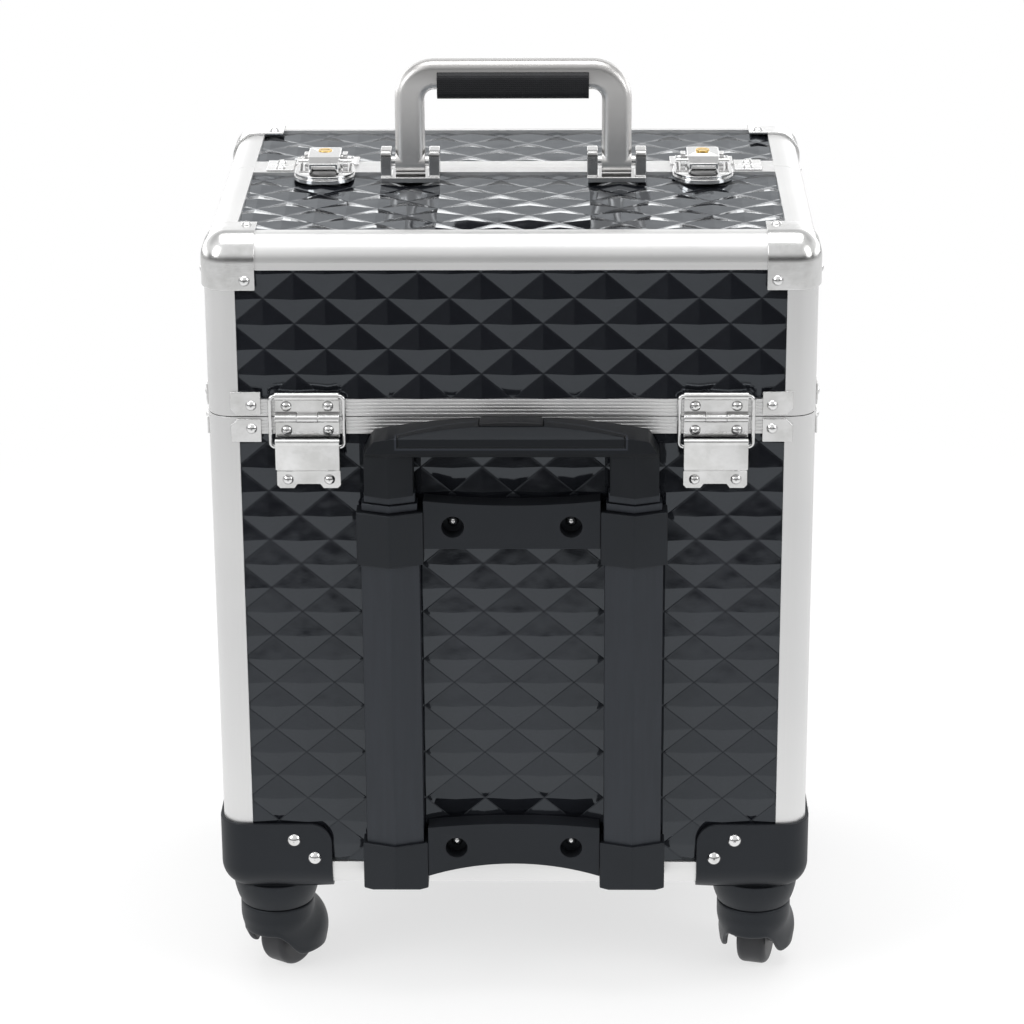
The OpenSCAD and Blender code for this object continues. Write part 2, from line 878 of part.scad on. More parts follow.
module trolley_tubes() {
    color(dark_plastic) trolley() both_tubes() tube(0, outer_wall, tube_low, tube_high);
}
module trolley_tube_ends() {
    color(dark_plastic)
        trolley()
            both_tubes() {
                difference() {
                    tube_block(head_out, head_low, head_high);
                    tube_block(0, head_low - over, tube_high);
                    tube_block(outer_wall, head_low - over, head_high + over);
                }
                difference() {
                    intersection() {
                        tube_block(head_out, foot_low, foot_high);
                        translate([0, 0, foot_low + foot_round])
                            rotate([90, 0, 0]) cylinder(r = foot_round, h = 4 * tube_ridge, center = true);
                    }
                    tube_block(0, tube_low, foot_high + over);
                }
            }
}

// Bridges between the tubes: a shallow arc cuts their edges, and deep round recesses hold the screws
bridge_half = tube_x - tube_w / 2 + head_out - slip;
bridge_d = 13;
bridge_sag = 2.9;
arch_sag = 8.5;
upper_bridge = [-78.9, -48.4];
lower_bridge = [-295.4, -259.8];
screw_in = 17.4;
screw_x = bridge_half - screw_in;
screw_upper = -65;
screw_lower = -276;
recess_r = 6.7;
recess_floor = 2;
screw_r = 2;
screw_head_d = 7.2;
screw_head_h = 2.4;
function arc_r(half, sag) = (half * half + sag * sag) / (2 * sag);
module arc_disc(sag, z) {
    r = arc_r(bridge_half, sag);
    translate([0, 0, z]) rotate([90, 0, 0]) cylinder(r = r, h = 4 * bridge_d, center = true, $fn = arc_fn);
}
module recess(z) {
    for (s = [-1, 1])
        translate([s * screw_x, 0, z])
            rotate([90, 0, 0]) {
                translate([0, 0, recess_floor]) cylinder(r = recess_r, h = bridge_d);
                translate([0, 0, -over]) cylinder(r = screw_r, h = bridge_d);
            }
}
module bridge_block(z) {
    translate([-bridge_half, -bridge_d, z[0]]) cube([2 * bridge_half, bridge_d, z[1] - z[0]]);
}
module trolley_bridges() {
    color(dark_plastic)
        trolley() {
            difference() {
                bridge_block(upper_bridge);
                arc_disc(bridge_sag, upper_bridge[1] - bridge_sag + arc_r(bridge_half, bridge_sag));
                recess(screw_upper);
            }
            difference() {
                intersection() {
                    bridge_block(lower_bridge);
                    arc_disc(bridge_sag, lower_bridge[1] - arc_r(bridge_half, bridge_sag));
                }
                arc_disc(arch_sag, lower_bridge[0] + arch_sag - arc_r(bridge_half, arch_sag));
                recess(screw_lower);
            }
        }
}
module trolley_screws() {
    color(chrome)
        trolley()
            for (s = [-1, 1], z = [screw_upper, screw_lower])
                translate([s * screw_x, 0, z]) {
                    translate([0, -recess_floor, 0]) dome(screw_head_d, screw_head_h);
                    rotate([90, 0, 0]) cylinder(r = screw_r, h = recess_floor);
                }
}

// The telescopic stages: each tube carries a collar at its top
mid_low = -294;
mid_high = -50.5;
mid_collar = 4.6;
mid_collar_in = 0.9;
inner_low = -288;
inner_high = -19;
inner_collar = [-50.2, -44.2];
inner_collar_in = 2.3;
module trolley_mid_tubes() {
    color(black)
        trolley()
            both_tubes()
                difference() {
                    union() {
                        tube_block(mid_in, mid_low, mid_high);
                        tube_block(mid_collar_in, mid_high - mid_collar, mid_high);
                    }
                    tube_block(mid_in + stage_wall, mid_low - over, mid_high + over);
                }
}
module trolley_inner_tubes() {
    color(black)
        trolley()
            both_tubes()
                difference() {
                    union() {
                        tube_block(inner_in_tube, inner_low, inner_high);
                        tube_block(inner_collar_in, inner_collar[0], inner_collar[1]);
                    }
                    tube_block(inner_in_tube + stage_wall, inner_low - over, inner_high + over);
                }
}

// The grip: a bar with an arched top and a bevelled front on two legs, hollow for the release rods
grip_over = 15;
grip_half = tube_x + grip_over;
grip_back = -1;
grip_top = 0.3;
grip_low = -17.6;
grip_bevel = [8, 6];
grip_under = [3, 3];
grip_sag = 9;
shoulder_r = 25;
leg_low = -43.6;
leg_half = 14.5;
leg_side = 17;
leg_ridge = 22.5;
button_half = 18.7;
button_y = [-17, -5];
button_rise = 2.2;
bar_z = [-11, -8];
bar_y = [-12, -6];
rod_y = -9;
rod_r = 2;
bar_l = tube_x + rod_r + over;
rod_low = -245;
bolt = [10, 3.6, 10];
slot_clear = 0.5;
module trolley_grip() {
    r = arc_r(grip_half, grip_sag);
    shoulder_h = 2 * (grip_top - leg_low);
    color(dark_plastic)
        trolley()
            difference() {
                union() {
                    intersection() {
                        prism_x([[grip_back, grip_low], [grip_back, grip_top],
                            [grip_bevel[0] - grip_d, grip_top], [-grip_d, grip_top - grip_bevel[1]],
                            [-grip_d, grip_low + grip_under[1]], [grip_under[0] - grip_d, grip_low]],
                            2 * grip_half);
                        translate([0, 0, grip_top - r])
                            rotate([90, 0, 0]) cylinder(r = r, h = 4 * grip_d, center = true, $fn = arc_fn);
                        translate([0, 0, grip_top - shoulder_h / 2])
                            rotate([90, 0, 0])
                                linear_extrude(4 * grip_d, center = true)
                                    rounded_rect(2 * grip_half, shoulder_h, shoulder_r);
                    }
                    both_tubes()
                        translate([0, 0, leg_low])
                            linear_extrude(grip_low - leg_low + over)
                                polygon([[-leg_half, grip_back], [leg_half, grip_back], [leg_half, -leg_side],
                                    [0, -leg_ridge], [-leg_half, -leg_side]]);
                }
                both_tubes() {
                    tube_block(inner_in_tube, leg_low - over, inner_high);
                    translate([0, rod_y, inner_high - over])
                        cylinder(r = rod_r + slot_clear, h = bar_z[0] - inner_high + over);
                }
                translate([-bar_l - slot_clear, bar_y[0] - slot_clear, bar_z[0] - button_travel - slot_clear])
                    cube([2 * (bar_l + slot_clear), bar_y[1] - bar_y[0] + 2 * slot_clear,
                        bar_z[1] - bar_z[0] + button_travel + 2 * slot_clear]);
                translate([-button_half - gap, button_y[0] - gap, bar_z[1] - button_travel - slot_clear])
                    cube([2 * (button_half + gap), button_y[1] - button_y[0] + 2 * gap,
                        grip_top + button_rise - bar_z[1] + button_travel + slot_clear]);
            }
}
module release_button() {
    r = arc_r(grip_half, grip_sag);
    color(black)
        trolley()
            intersection() {
                translate([-button_half, button_y[0], bar_z[1]])
                    cube([2 * button_half, button_y[1] - button_y[0], grip_top + button_rise - bar_z[1]]);
                translate([0, 0, grip_top + button_rise - r / 2])
                    rotate([90, 0, 0]) cylinder(r = r / 2, h = 4 * grip_d, center = true, $fn = arc_fn);
            }
}
module release_rods() {
    color(steel)
        trolley() {
            translate([-bar_l, bar_y[0], bar_z[0]])
                cube([2 * bar_l, bar_y[1] - bar_y[0], bar_z[1] - bar_z[0]]);
            both_tubes() {
                translate([0, rod_y, rod_low]) cylinder(r = rod_r, h = bar_z[0] + over - rod_low);
                translate([-bolt[0] / 2, rod_y - bolt[1] / 2, rod_low - bolt[2] + over]) cube(bolt);
            }
        }
}

// The carry handle: a bent bar on two pins, with the grip held under its middle
handle_before_seam = 27;
handle_at = seam_at - handle_before_seam;
handle_bar = [18, 14];
handle_round = 5;
handle_bend = 15;
handle_pin_z = 11;
handle_pin_r = 3;
leg_x = (handle_w - handle_bar[0]) / 2;
bar_up = handle_h - handle_bar[0] / 2;
bracket = [36, 22, 3.5];
ear_t = 6.5;
ear_r = 8;
module handle_spot() {
    on_top() translate([0, handle_at, 0]) children();
}
module handle_solid() {
    straight = leg_x - handle_bend;
    translate([0, 0, bar_up]) rotate([0, 90, 0]) linear_extrude(2 * straight, center = true) handle_section();
    for (m = [0, 1])
        mirror([m, 0, 0]) {
            translate([leg_x, 0, handle_pin_z])
                linear_extrude(bar_up - handle_bend - handle_pin_z) handle_section();
            translate([straight, 0, bar_up - handle_bend])
                rotate([90, 0, 0])
                    rotate_extrude(angle = 90) translate([handle_bend, 0]) handle_section();
            translate([leg_x, 0, handle_pin_z]) rod_x(handle_bar[1] / 2, handle_bar[0]);
        }
}
module handle_section() {
    rounded_rect(handle_bar[0], handle_bar[1], handle_round);
}
module carry_handle() {
    color(steel)
        handle_spot()
            difference() {
                handle_solid();
                translate([0, 0, handle_pin_z]) rod_x(handle_pin_r + running, 2 * handle_w);
            }
}
grip_l = 92;
grip_h = 17.2;
grip_down = 5.9;
grip_wide = 20;
module handle_grip() {
    color(black)
        handle_spot()
            difference() {
                translate([0, 0, handle_h - grip_down - grip_h / 2])
                    rotate([0, 90, 0])
                        linear_extrude(grip_l, center = true) rounded_rect(grip_h, grip_wide, handle_round);
                handle_solid();
            }
}
module handle_brackets() {
    color(steel)
        handle_spot()
            for (s = [-1, 1])
                translate([s * leg_x, 0, 0])
                    difference() {
                        union() {
                            translate([-bracket[0] / 2, -bracket[1] / 2, 0]) cube(bracket);
                            for (m = [-1, 1])
                                translate([m * (bracket[0] - ear_t) / 2, 0, handle_pin_z]) {
                                    rod_x(ear_r, ear_t);
                                    translate([-ear_t / 2, -ear_r, -handle_pin_z])
                                        cube([ear_t, 2 * ear_r, handle_pin_z]);
                                }
                        }
                        translate([0, 0, handle_pin_z]) rod_x(handle_pin_r, 2 * bracket[0]);
                    }
}

// The locks: an oval base and a lever on the near lid, and a wire bail that draws on the far lid's strike
lock_base = [37, 41];
lock_round = 16;
lock_before_seam = 21;
lock_mid = seam_at - lock_before_seam;
lock_steps = [[0, 0, 2.4], [1.4, 2.4, 0.6], [0.6, 3, 1.5]];
lock_high = 4.5;
lug_t = 3;
lug_x = 10.3;
lug_d = 6;
lever_half = 9.8;
pin_before_seam = 6;
lever_at = [seam_at - pin_before_seam, 7.6];
lever_pin_r = 1.5;
lever_barrel = 2.7;
lever_top = 14;
lever_before_seam = 36;
lever_near = seam_at - lever_before_seam;
lever_slope = [7, 2.5];
lever_tip = 8.6;
lever_taper = 9;
lever_arc = 14;
lever_lip = 3;
lever_heel = 1;
lever_low = lock_high + gap + slip;
finger = [14.6, 12, 6];
key_before_seam = 13;
key_y = seam_at - key_before_seam;
key_r = 4.2;
key_z = 10;
key_slot = [5.4, 1.3, 2];
bail_before_seam = 16;
bail_at = [seam_at - bail_before_seam, 8.1];
bail_past_seam = 8;
bail_end = [seam_at + bail_past_seam, 3.6];
bail_r = 1.1;
bail_arm_r = 0.95;
bail_half = 15.2;
strike = [39, 17, 1.5];
strike_past_seam = 1.5;
strike_at = seam_at + strike_past_seam;
strike_post = [24, 2.8, 3.6];
post_past_seam = 3.5;
strike_post_at = seam_at + post_past_seam;
module at_lock(s) {
    on_top() translate([s * lock_x, 0, 0]) children();
}
module lock_bases() {
    color(chrome)
        for (s = [-1, 1])
            at_lock(s) {
                difference() {
                    union() {
                        translate([0, lock_mid, 0])
                            for (p = lock_steps)
                                translate([0, 0, p[1]])
                                    linear_extrude(p[2])
                                        rounded_rect(lock_base[0] - 2 * p[0], lock_base[1] - 2 * p[0],
                                            lock_round - p[0]);
                        for (m = [-1, 1])
                            translate([m * (lug_x + lug_t / 2), lever_at[0], lock_high - over])
                                translate([-lug_t / 2, -lug_d / 2, 0])
                                    cube([lug_t, lug_d, lever_at[1] + lug_d / 2 - lock_high + over]);
                    }
                    translate([0, lever_at[0], lever_at[1]]) rod_x(lever_pin_r, 2 * lock_base[0]);
                }
            }
}
module near_lid_pins() {
    color(steel) {
        handle_spot()
            for (s = [-1, 1])
                translate([s * leg_x, 0, handle_pin_z]) rod_x(handle_pin_r, bracket[0]);
        for (s = [-1, 1])
            at_lock(s) translate([0, lever_at[0], lever_at[1]]) rod_x(lever_pin_r, 2 * (lug_x + lug_t));
    }
}
lever_back = lever_at[0] + lever_barrel;
module lever_plan() {
    intersection() {
        polygon([[-lever_tip, lever_near], [lever_tip, lever_near], [lever_half, lever_near + lever_taper],
            [lever_half, lever_back], [-lever_half, lever_back], [-lever_half, lever_near + lever_taper]]);
        union() {
            translate([0, lever_back - lever_arc]) circle(lever_arc);
            translate([-lever_arc / 2 - lever_half / 2, lever_near - over])
                square([lever_arc + lever_half, lever_back - lever_half - lever_near + over]);
        }
    }
}
module lock_lever(s) {
    color(chrome)
        at_lock(s)
            difference() {
                union() {
                    intersection() {
                        prism_x([[lever_at[0], lever_low], [lever_near + lever_lip, lever_low],
                            [lever_near, lever_low + lever_lip], [lever_near, lever_top - lever_slope[1]],
                            [lever_near + lever_slope[0], lever_top], [lever_at[0], lever_top],
                            [lever_back, lever_at[1] + lever_heel], [lever_back, lever_at[1]]],
                            2 * lever_half + over);
                        linear_extrude(lever_top + over) lever_plan();
                    }
                    translate([0, lever_at[0], lever_at[1]]) rod_x(lever_barrel, 2 * lever_half);
                }
                translate([0, lever_at[0], lever_at[1]]) rod_x(lever_pin_r + running, 4 * lever_half);
                translate([0, bail_at[0], bail_at[1]]) rod_x(bail_r + running, 4 * lever_half);
                translate([-finger[0] / 2, lever_near - over, lever_low - over]) cube(finger);
                translate([0, key_y, key_z]) cylinder(r = key_r + running, h = lever_top);
            }
}
module key_cylinder(s) {
    color(brass)
        at_lock(s)
            translate([0, key_y, key_z])
                difference() {
                    translate([0, 0, slip]) cylinder(r = key_r, h = lever_top - key_z + gap);
                    translate([-key_slot[0] / 2, -key_slot[1] / 2, lever_top - key_z + gap - key_slot[2]])
                        cube([key_slot[0], key_slot[1], 2 * key_slot[2]]);
                }
}
module lock_bail(s) {
    run = bail_end - bail_at;
    l = norm(run);
    color(chrome)
        at_lock(s) {
            for (p = [bail_at, bail_end])
                translate([0, p[0], p[1]]) rod_x(bail_r, 2 * (bail_half + bail_r));
            for (m = [-1, 1])
                translate([m * bail_half, bail_at[0], bail_at[1]])
                    rotate([-90 + atan2(run[1], run[0]), 0, 0]) cylinder(r = bail_arm_r, h = l);
        }
}
module lock_strikes() {
    color(chrome)
        for (s = [-1, 1])
            at_lock(s) {
                translate([-strike[0] / 2, strike_at, 0]) cube(strike);
                translate([-strike_post[0] / 2, strike_post_at, 0]) cube(strike_post + [0, 0, strike[2]]);
            }
}
module lock_lever_left() {
    lock_lever(-1);
}
module lock_lever_right() {
    lock_lever(1);
}
module lock_bail_left() {
    lock_bail(-1);
}
module lock_bail_right() {
    lock_bail(1);
}
module key_cylinder_left() {
    key_cylinder(-1);
}
module key_cylinder_right() {
    key_cylinder(1);
}
module caster_fork_1() {
    caster_fork(0);
}
module caster_fork_2() {
    caster_fork(1);
}
module caster_fork_3() {
    caster_fork(2);
}
module caster_fork_4() {
    caster_fork(3);
}
module caster_wheel_1() {
    caster_wheel(0);
}
module caster_wheel_2() {
    caster_wheel(1);
}
module caster_wheel_3() {
    caster_wheel(2);
}
module caster_wheel_4() {
    caster_wheel(3);
}

place() base_walls();
place() bottom_panel();
place() base_lining();
place() base_frame_rails();
place() base_rim_rails();
place() base_rim_plates();
place() hinge_lower_leaves();
place() hinge_keepers();
place() hinge_pins();
place() caster_housings();
place() base_rivets();
place() trolley_tubes();
place() trolley_tube_ends();
place() trolley_bridges();
place() trolley_screws();
place() near_lid_walls();
place() near_lid_top();
place() near_lid_lining();
place() near_lid_frame_rails();
place() near_lid_rim_rails();
place() near_lid_corner_caps();
place() near_lid_plates();
place() near_hinge_leaves();
place() near_lid_rivets();
place() handle_brackets();
place() near_lid_pins();
place() lock_bases();
place() far_lid_walls();
place() far_lid_top();
place() far_lid_lining();
place() far_lid_frame_rails();
place() far_lid_rim_rails();
place() far_lid_corner_caps();
place() far_lid_plates();
place() far_hinge_leaves();
place() far_lid_rivets();
place() lock_strikes();
place() near_stay_loops();
place() far_stay_loops();
place() carry_handle();
place() handle_grip();
place() lock_lever_left();
place() lock_lever_right();
place() lock_bail_left();
place() lock_bail_right();
place() key_cylinder_left();
place() key_cylinder_right();
place() trolley_mid_tubes();
place() trolley_inner_tubes();
place() trolley_grip();
place() release_button();
place() release_rods();
place() caster_fork_1();
place() caster_fork_2();
place() caster_fork_3();
place() caster_fork_4();
place() caster_wheel_1();
place() caster_wheel_2();
place() caster_wheel_3();
place() caster_wheel_4();
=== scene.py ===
import json
import math

import bmesh
import bpy
import numpy as np
from mathutils import Matrix, Vector


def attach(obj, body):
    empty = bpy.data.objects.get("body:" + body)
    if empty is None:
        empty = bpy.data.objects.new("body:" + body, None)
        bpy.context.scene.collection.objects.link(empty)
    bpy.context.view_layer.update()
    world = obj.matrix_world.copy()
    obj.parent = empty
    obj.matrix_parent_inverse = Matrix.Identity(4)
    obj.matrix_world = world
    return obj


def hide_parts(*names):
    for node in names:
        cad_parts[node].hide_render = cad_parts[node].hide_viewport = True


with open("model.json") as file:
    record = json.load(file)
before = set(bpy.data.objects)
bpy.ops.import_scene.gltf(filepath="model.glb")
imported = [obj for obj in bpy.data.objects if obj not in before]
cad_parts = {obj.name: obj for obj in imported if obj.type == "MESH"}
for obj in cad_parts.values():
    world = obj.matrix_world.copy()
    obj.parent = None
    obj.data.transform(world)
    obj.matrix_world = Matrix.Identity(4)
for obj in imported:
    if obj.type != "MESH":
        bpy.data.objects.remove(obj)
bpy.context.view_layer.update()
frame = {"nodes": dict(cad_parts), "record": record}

MM = 0.001

# The case's own measures in millimetres, as in the part's source
CASE_W, CASE_D = 360.0, 264.0
RIDE_H, BASE_H, LID_H = 70.0, 311.0, 109.0
SPLIT_Z = RIDE_H + BASE_H
TOP_Z = SPLIT_Z + LID_H
SEAM_AT = 157.0
SHELL_Y = 7.95
RAIL_W, RAIL_T, RAIL_R = 19.0, 2.6, 14.5
RIM_H, SEAM_RIM, FLANGE_T = 10.4, 12.0, 1.4
PANEL_T, EMBOSS, TOP_EMBOSS = 4.0, 2.3, 1.9
DIAMOND_W, DIAMOND_H = 36.4, 31.0
PANEL_EDGE = 1.8
NEAR, FAR = -1, 1


class Wire:
    """One shader socket. Arithmetic on it adds a Math node and gives that node's socket back."""

    def __init__(self, finish, socket):
        self.finish, self.socket = finish, socket

    def _math(self, operation, first, second=0.0, third=0.0):
        return self.finish.node("ShaderNodeMath", dict(operation=operation), {0: first, 1: second, 2: third})

    def __add__(self, other):
        return self._math("ADD", self, other)

    def __radd__(self, other):
        return self._math("ADD", other, self)

    def __sub__(self, other):
        return self._math("SUBTRACT", self, other)

    def __rsub__(self, other):
        return self._math("SUBTRACT", other, self)

    def __mul__(self, other):
        return self._math("MULTIPLY", self, other)

    def __rmul__(self, other):
        return self._math("MULTIPLY", other, self)

    def __truediv__(self, other):
        return self._math("DIVIDE", self, other)

    def __pow__(self, other):
        return self._math("POWER", self, other)

    def __abs__(self):
        return self._math("ABSOLUTE", self)

    def step(self, low, high):
        """0 below low, 1 above high, eased between."""
        return self.finish.node(
            "ShaderNodeMapRange", dict(interpolation_type="SMOOTHSTEP"),
            {"Value": self, "From Min": low, "From Max": high})


class Finish:
    """A material or world tree. node() adds any node: its settings first, then its sockets' values or links."""

    def __init__(self, owner):
        owner.use_nodes = True
        self.tree = owner.node_tree
        self.tree.nodes.clear()

    def node(self, kind, settings=None, sockets=None, out=0):
        made = self.tree.nodes.new(kind)
        for name, value in (settings or {}).items():
            setattr(made, name, value)
        for name, value in (sockets or {}).items():
            if isinstance(value, Wire):
                self.tree.links.new(value.socket, made.inputs[name])
            else:
                made.inputs[name].default_value = value
        return Wire(self, made.outputs[out]) if made.outputs else None

    def place(self, scale=(1, 1, 1), turn=(0, 0, 0)):
        """Object coordinates, stretched and turned."""
        spot = self.node("ShaderNodeTexCoord", out="Object")
        return self.node("ShaderNodeMapping", None, {"Vector": spot, "Scale": scale, "Rotation": turn})

    def noise(self, scale, detail=3.0, rough=0.5, spot=None):
        return self.node("ShaderNodeTexNoise", None, {
            "Vector": spot or self.place(), "Scale": scale, "Detail": detail, "Roughness": rough})

    def blend(self, amount, first, second):
        """A mix of two colours; a plain colour is a tuple of four."""
        return self.node("ShaderNodeMix", dict(data_type="RGBA"), {0: amount, 6: first, 7: second}, out=2)

    def axis(self, name):
        """One object coordinate in metres."""
        spot = self.node("ShaderNodeTexCoord", out="Object")
        return self.node("ShaderNodeSeparateXYZ", None, {"Vector": spot}, out=name)


COOL = (0.88, 0.96, 1.22)
COOL_SHEEN = (0.86, 0.93, 1.0, 1.0)


def tone(grey, tint=(1.0, 1.0, 1.0)):
    """A grey with a tint, as the four numbers of a colour."""
    return tuple(grey * t for t in tint) + (1.0,)


def surface(name, recipe):
    """A material from a recipe: it takes the tree and gives the Principled sockets' values or links."""
    material = bpy.data.materials.new(name)
    finish = Finish(material)
    shader = finish.node("ShaderNodeBsdfPrincipled", None, recipe(finish), out="BSDF")
    finish.node("ShaderNodeOutputMaterial", None, {"Surface": shader})
    return material


def eased(finish, height, depth, radius=0.0004, strength=1.0):
    """A bump of the given height on edges that are rounded by a small radius."""
    soft = finish.node("ShaderNodeBevel", dict(samples=4), {"Radius": radius})
    return finish.node("ShaderNodeBump", None, {
        "Height": height, "Distance": depth, "Strength": strength, "Normal": soft})


def embossed_sheet(f, index=1.57, waviness=0.40):
    """Black laminate: a glossy skin that waves a little over each facet, with faint handling haze."""
    wave = f.noise(42.0, 2.0)
    haze = f.noise(9.0, 4.0, 0.6)
    speck = f.noise(900.0, 2.0)
    bump = f.node("ShaderNodeBump", None, {"Height": wave + 0.03 * speck, "Distance": 0.0011, "Strength": waviness})
    return {
        "Base Color": f.blend(haze.step(0.35, 0.75), tone(0.008, COOL), tone(0.011, COOL)),
        "Roughness": 0.06 + 0.06 * haze.step(0.4, 0.8),
        "IOR": index,
        "Specular Tint": COOL_SHEEN,
        "Normal": bump,
    }


def satin_rail(f):
    """Anodised aluminium: an even satin with a very fine grain and slow changes of tone."""
    grain = f.noise(1500.0, 2.0)
    slow = f.noise(6.0, 3.0)
    return {
        "Base Color": f.blend(slow.step(0.3, 0.7), tone(0.69), tone(0.75, (1.0, 1.0, 0.995))),
        "Metallic": 1.0,
        "Roughness": 0.33 + 0.10 * grain + 0.05 * slow,
        "Normal": eased(f, grain, 0.00002, 0.0005),
    }


def plated_steel(f):
    """Nickel-plated pressings: a soft polish with faint cross brushing and cloudy wear."""
    brushed = f.noise(120.0, 4.0, 0.65, f.place((1.0, 1.0, 22.0)))
    cloud = f.noise(55.0, 4.0, 0.6)
    return {
        "Base Color": f.blend(cloud.step(0.3, 0.75), tone(0.76), tone(0.62, (1.0, 1.0, 0.985))),
        "Metallic": 1.0,
        "Roughness": 0.13 + 0.08 * cloud + 0.07 * brushed,
        "Normal": eased(f, brushed, 0.000025, 0.0006),
    }


def bright_plate(f):
    """Bright plate on small fittings: smooth, with thin wear."""
    wear = f.noise(130.0, 4.0, 0.6)
    return {
        "Base Color": f.blend(wear.step(0.45, 0.8), tone(0.74), tone(0.62, (1.0, 0.99, 0.98))),
        "Metallic": 1.0,
        "Roughness": 0.09 + 0.10 * wear.step(0.45, 0.85),
        "Normal": eased(f, wear, 0.00002, 0.0006),
    }


# Heights over the lids' tops, in millimetres, between which the painted shade on top of the handle begins
PAINTED_SHADE_SPAN = (58.0, 72.0)


def satin_nickel(f):
    """The carry handle: a brushed satin with fine streaks along the bar, and painted shade that darkens its base
    colour on top.
    """
    streak = f.noise(160.0, 3.0, 0.6, f.place((1.0, 14.0, 14.0)))
    cloud = f.noise(14.0, 3.0)
    # Painted shade: held is a mask that darkens the base colour toward the top of the bar
    held = f.axis("Z").step(*((TOP_Z + up) * MM for up in PAINTED_SHADE_SPAN))
    unshaded = f.blend(cloud.step(0.3, 0.7), tone(0.68, (1.0, 0.985, 0.97)), tone(0.76, (1.0, 0.99, 0.98)))
    return {
        "Base Color": f.blend(held, unshaded, tone(0.44, (1.0, 0.985, 0.97))),
        "Metallic": 1.0,
        "Roughness": 0.34 + 0.12 * streak,
        "Normal": eased(f, streak, 0.00003, 0.0008),
    }


def bracket_zinc(f):
    """The handle's brackets: plated die castings with a soft polish and a cloudy skin."""
    cloud = f.noise(60.0, 4.0, 0.6)
    return {
        "Base Color": f.blend(cloud.step(0.3, 0.75), tone(0.50), tone(0.43, (1.0, 0.99, 0.98))),
        "Metallic": 1.0,
        "Roughness": 0.15 + 0.08 * cloud,
        "Normal": eased(f, cloud, 0.00002, 0.0006),
    }


def polished_brass(f):
    """The key cylinders: turned brass with fine rings."""
    ring = f.noise(700.0, 2.0)
    return {
        "Base Color": f.blend(ring.step(0.4, 0.7), tone(1.0, (0.70, 0.47, 0.14)), tone(1.0, (0.82, 0.60, 0.24))),
        "Metallic": 1.0,
        "Roughness": 0.16 + 0.14 * ring,
        "Normal": eased(f, ring, 0.00002, 0.0003),
    }


def moulded_black(f):
    """Moulded plastic: a fine spark-eroded grain, slow shade changes and paler spots worn by rubbing."""
    grain = f.noise(2600.0, 2.0, 0.6)
    shade = f.noise(11.0, 3.0)
    return {
        "Base Color": f.blend(shade.step(0.3, 0.75), tone(0.006, COOL), tone(0.009, COOL)),
        "Roughness": 0.40 + 0.14 * grain + 0.06 * shade,
        "IOR": 1.40,
        "Specular Tint": COOL_SHEEN,
        "Normal": eased(f, grain, 0.00005, 0.0009),
    }


# The pad in the trolley grip, in millimetres: half its length, its lower edge below the split, its upper edge back
# from the face, the seam round it, and the painted highlight beside the seam. The upper edge bows forward by
# PAD_BOW x^2, in metres
PAD_HALF, PAD_LOW, PAD_BACK, PAD_BOW = 66.5, 10.6, 8.0, 2.5
SEAM_WIDE, HIGHLIGHT_AT, HIGHLIGHT_WIDE = 0.7, 1.2, 0.9


def grip_black(f):
    """The trolley grip: moulded plastic with a fine seam round the pad in its front and crown, and a paler band beside
    the seam that is a painted highlight.
    """
    grain = f.noise(2600.0, 2.0, 0.6)
    shade = f.noise(11.0, 3.0)
    across = abs(f.axis("X"))
    drop = (SPLIT_Z - PAD_LOW) * MM - f.axis("Z")
    behind = PAD_BACK * MM + PAD_BOW * across ** 2.0 + f.axis("Y") + (CASE_D / 2 - SHELL_Y) * MM
    outside = across - PAD_HALF * MM
    for border in (drop, behind):
        outside = f.node("ShaderNodeMath", dict(operation="MAXIMUM"), {0: outside, 1: border})
    seam = 1.0 - abs(outside).step(0.0, SEAM_WIDE * MM)
    # Painted highlight: a paler band of base colour just outside the seam stands for light caught on the pad's edge
    highlight_band = 1.0 - abs(outside - HIGHLIGHT_AT * MM).step(0.0, HIGHLIGHT_WIDE * MM)
    painted_highlight_tone = f.blend(highlight_band, tone(0.005, COOL), tone(0.026, COOL))
    return {
        "Base Color": f.blend(seam, painted_highlight_tone, tone(0.001)),
        "Roughness": 0.36 + 0.14 * grain + 0.08 * shade,
        "IOR": 1.31,
        "Specular Tint": COOL_SHEEN,
        "Normal": eased(f, grain * 0.06 - seam, 0.0006, 0.0012),
    }


def coated_tube(f):
    """Powder-coated steel tube: satin black with a light orange peel."""
    peel = f.noise(520.0, 3.0)
    streak = f.noise(30.0, 4.0, 0.6, f.place((8.0, 8.0, 0.6)))
    return {
        "Base Color": f.blend(streak.step(0.35, 0.75), tone(0.013, COOL), tone(0.017, COOL)),
        "Roughness": 0.33 + 0.10 * streak + 0.05 * peel,
        "IOR": 1.46,
        "Specular Tint": COOL_SHEEN,
        "Normal": eased(f, peel, 0.00004, 0.0006),
    }


def soft_black(f):
    """Soft hand pads: matte black with a close cross grain."""
    spot = f.place()
    ribs = [f.node("ShaderNodeTexWave", dict(wave_type="BANDS", bands_direction=d),
                   {"Vector": spot, "Scale": 260.0, "Distortion": 0.4}, out=1) for d in ("X", "Z")]
    weave = ribs[0] * ribs[1]
    dust = f.noise(60.0, 4.0, 0.65)
    return {
        "Base Color": f.blend(dust.step(0.5, 0.8), tone(0.006, COOL), tone(0.010, COOL)),
        "Roughness": 0.52 + 0.12 * weave,
        "IOR": 1.40,
        "Normal": eased(f, weave, 0.00012, 0.0008),
    }


def tread_black(f):
    """Caster tyres: dense rubber with a fine turned finish and a dusty bloom."""
    turned = f.noise(700.0, 3.0)
    bloom = f.noise(70.0, 4.0, 0.6)
    return {
        "Base Color": f.blend(bloom.step(0.4, 0.8), tone(0.011, COOL), tone(0.018, COOL)),
        "Roughness": 0.46 + 0.16 * bloom,
        "Normal": eased(f, turned, 0.00005, 0.0008),
    }


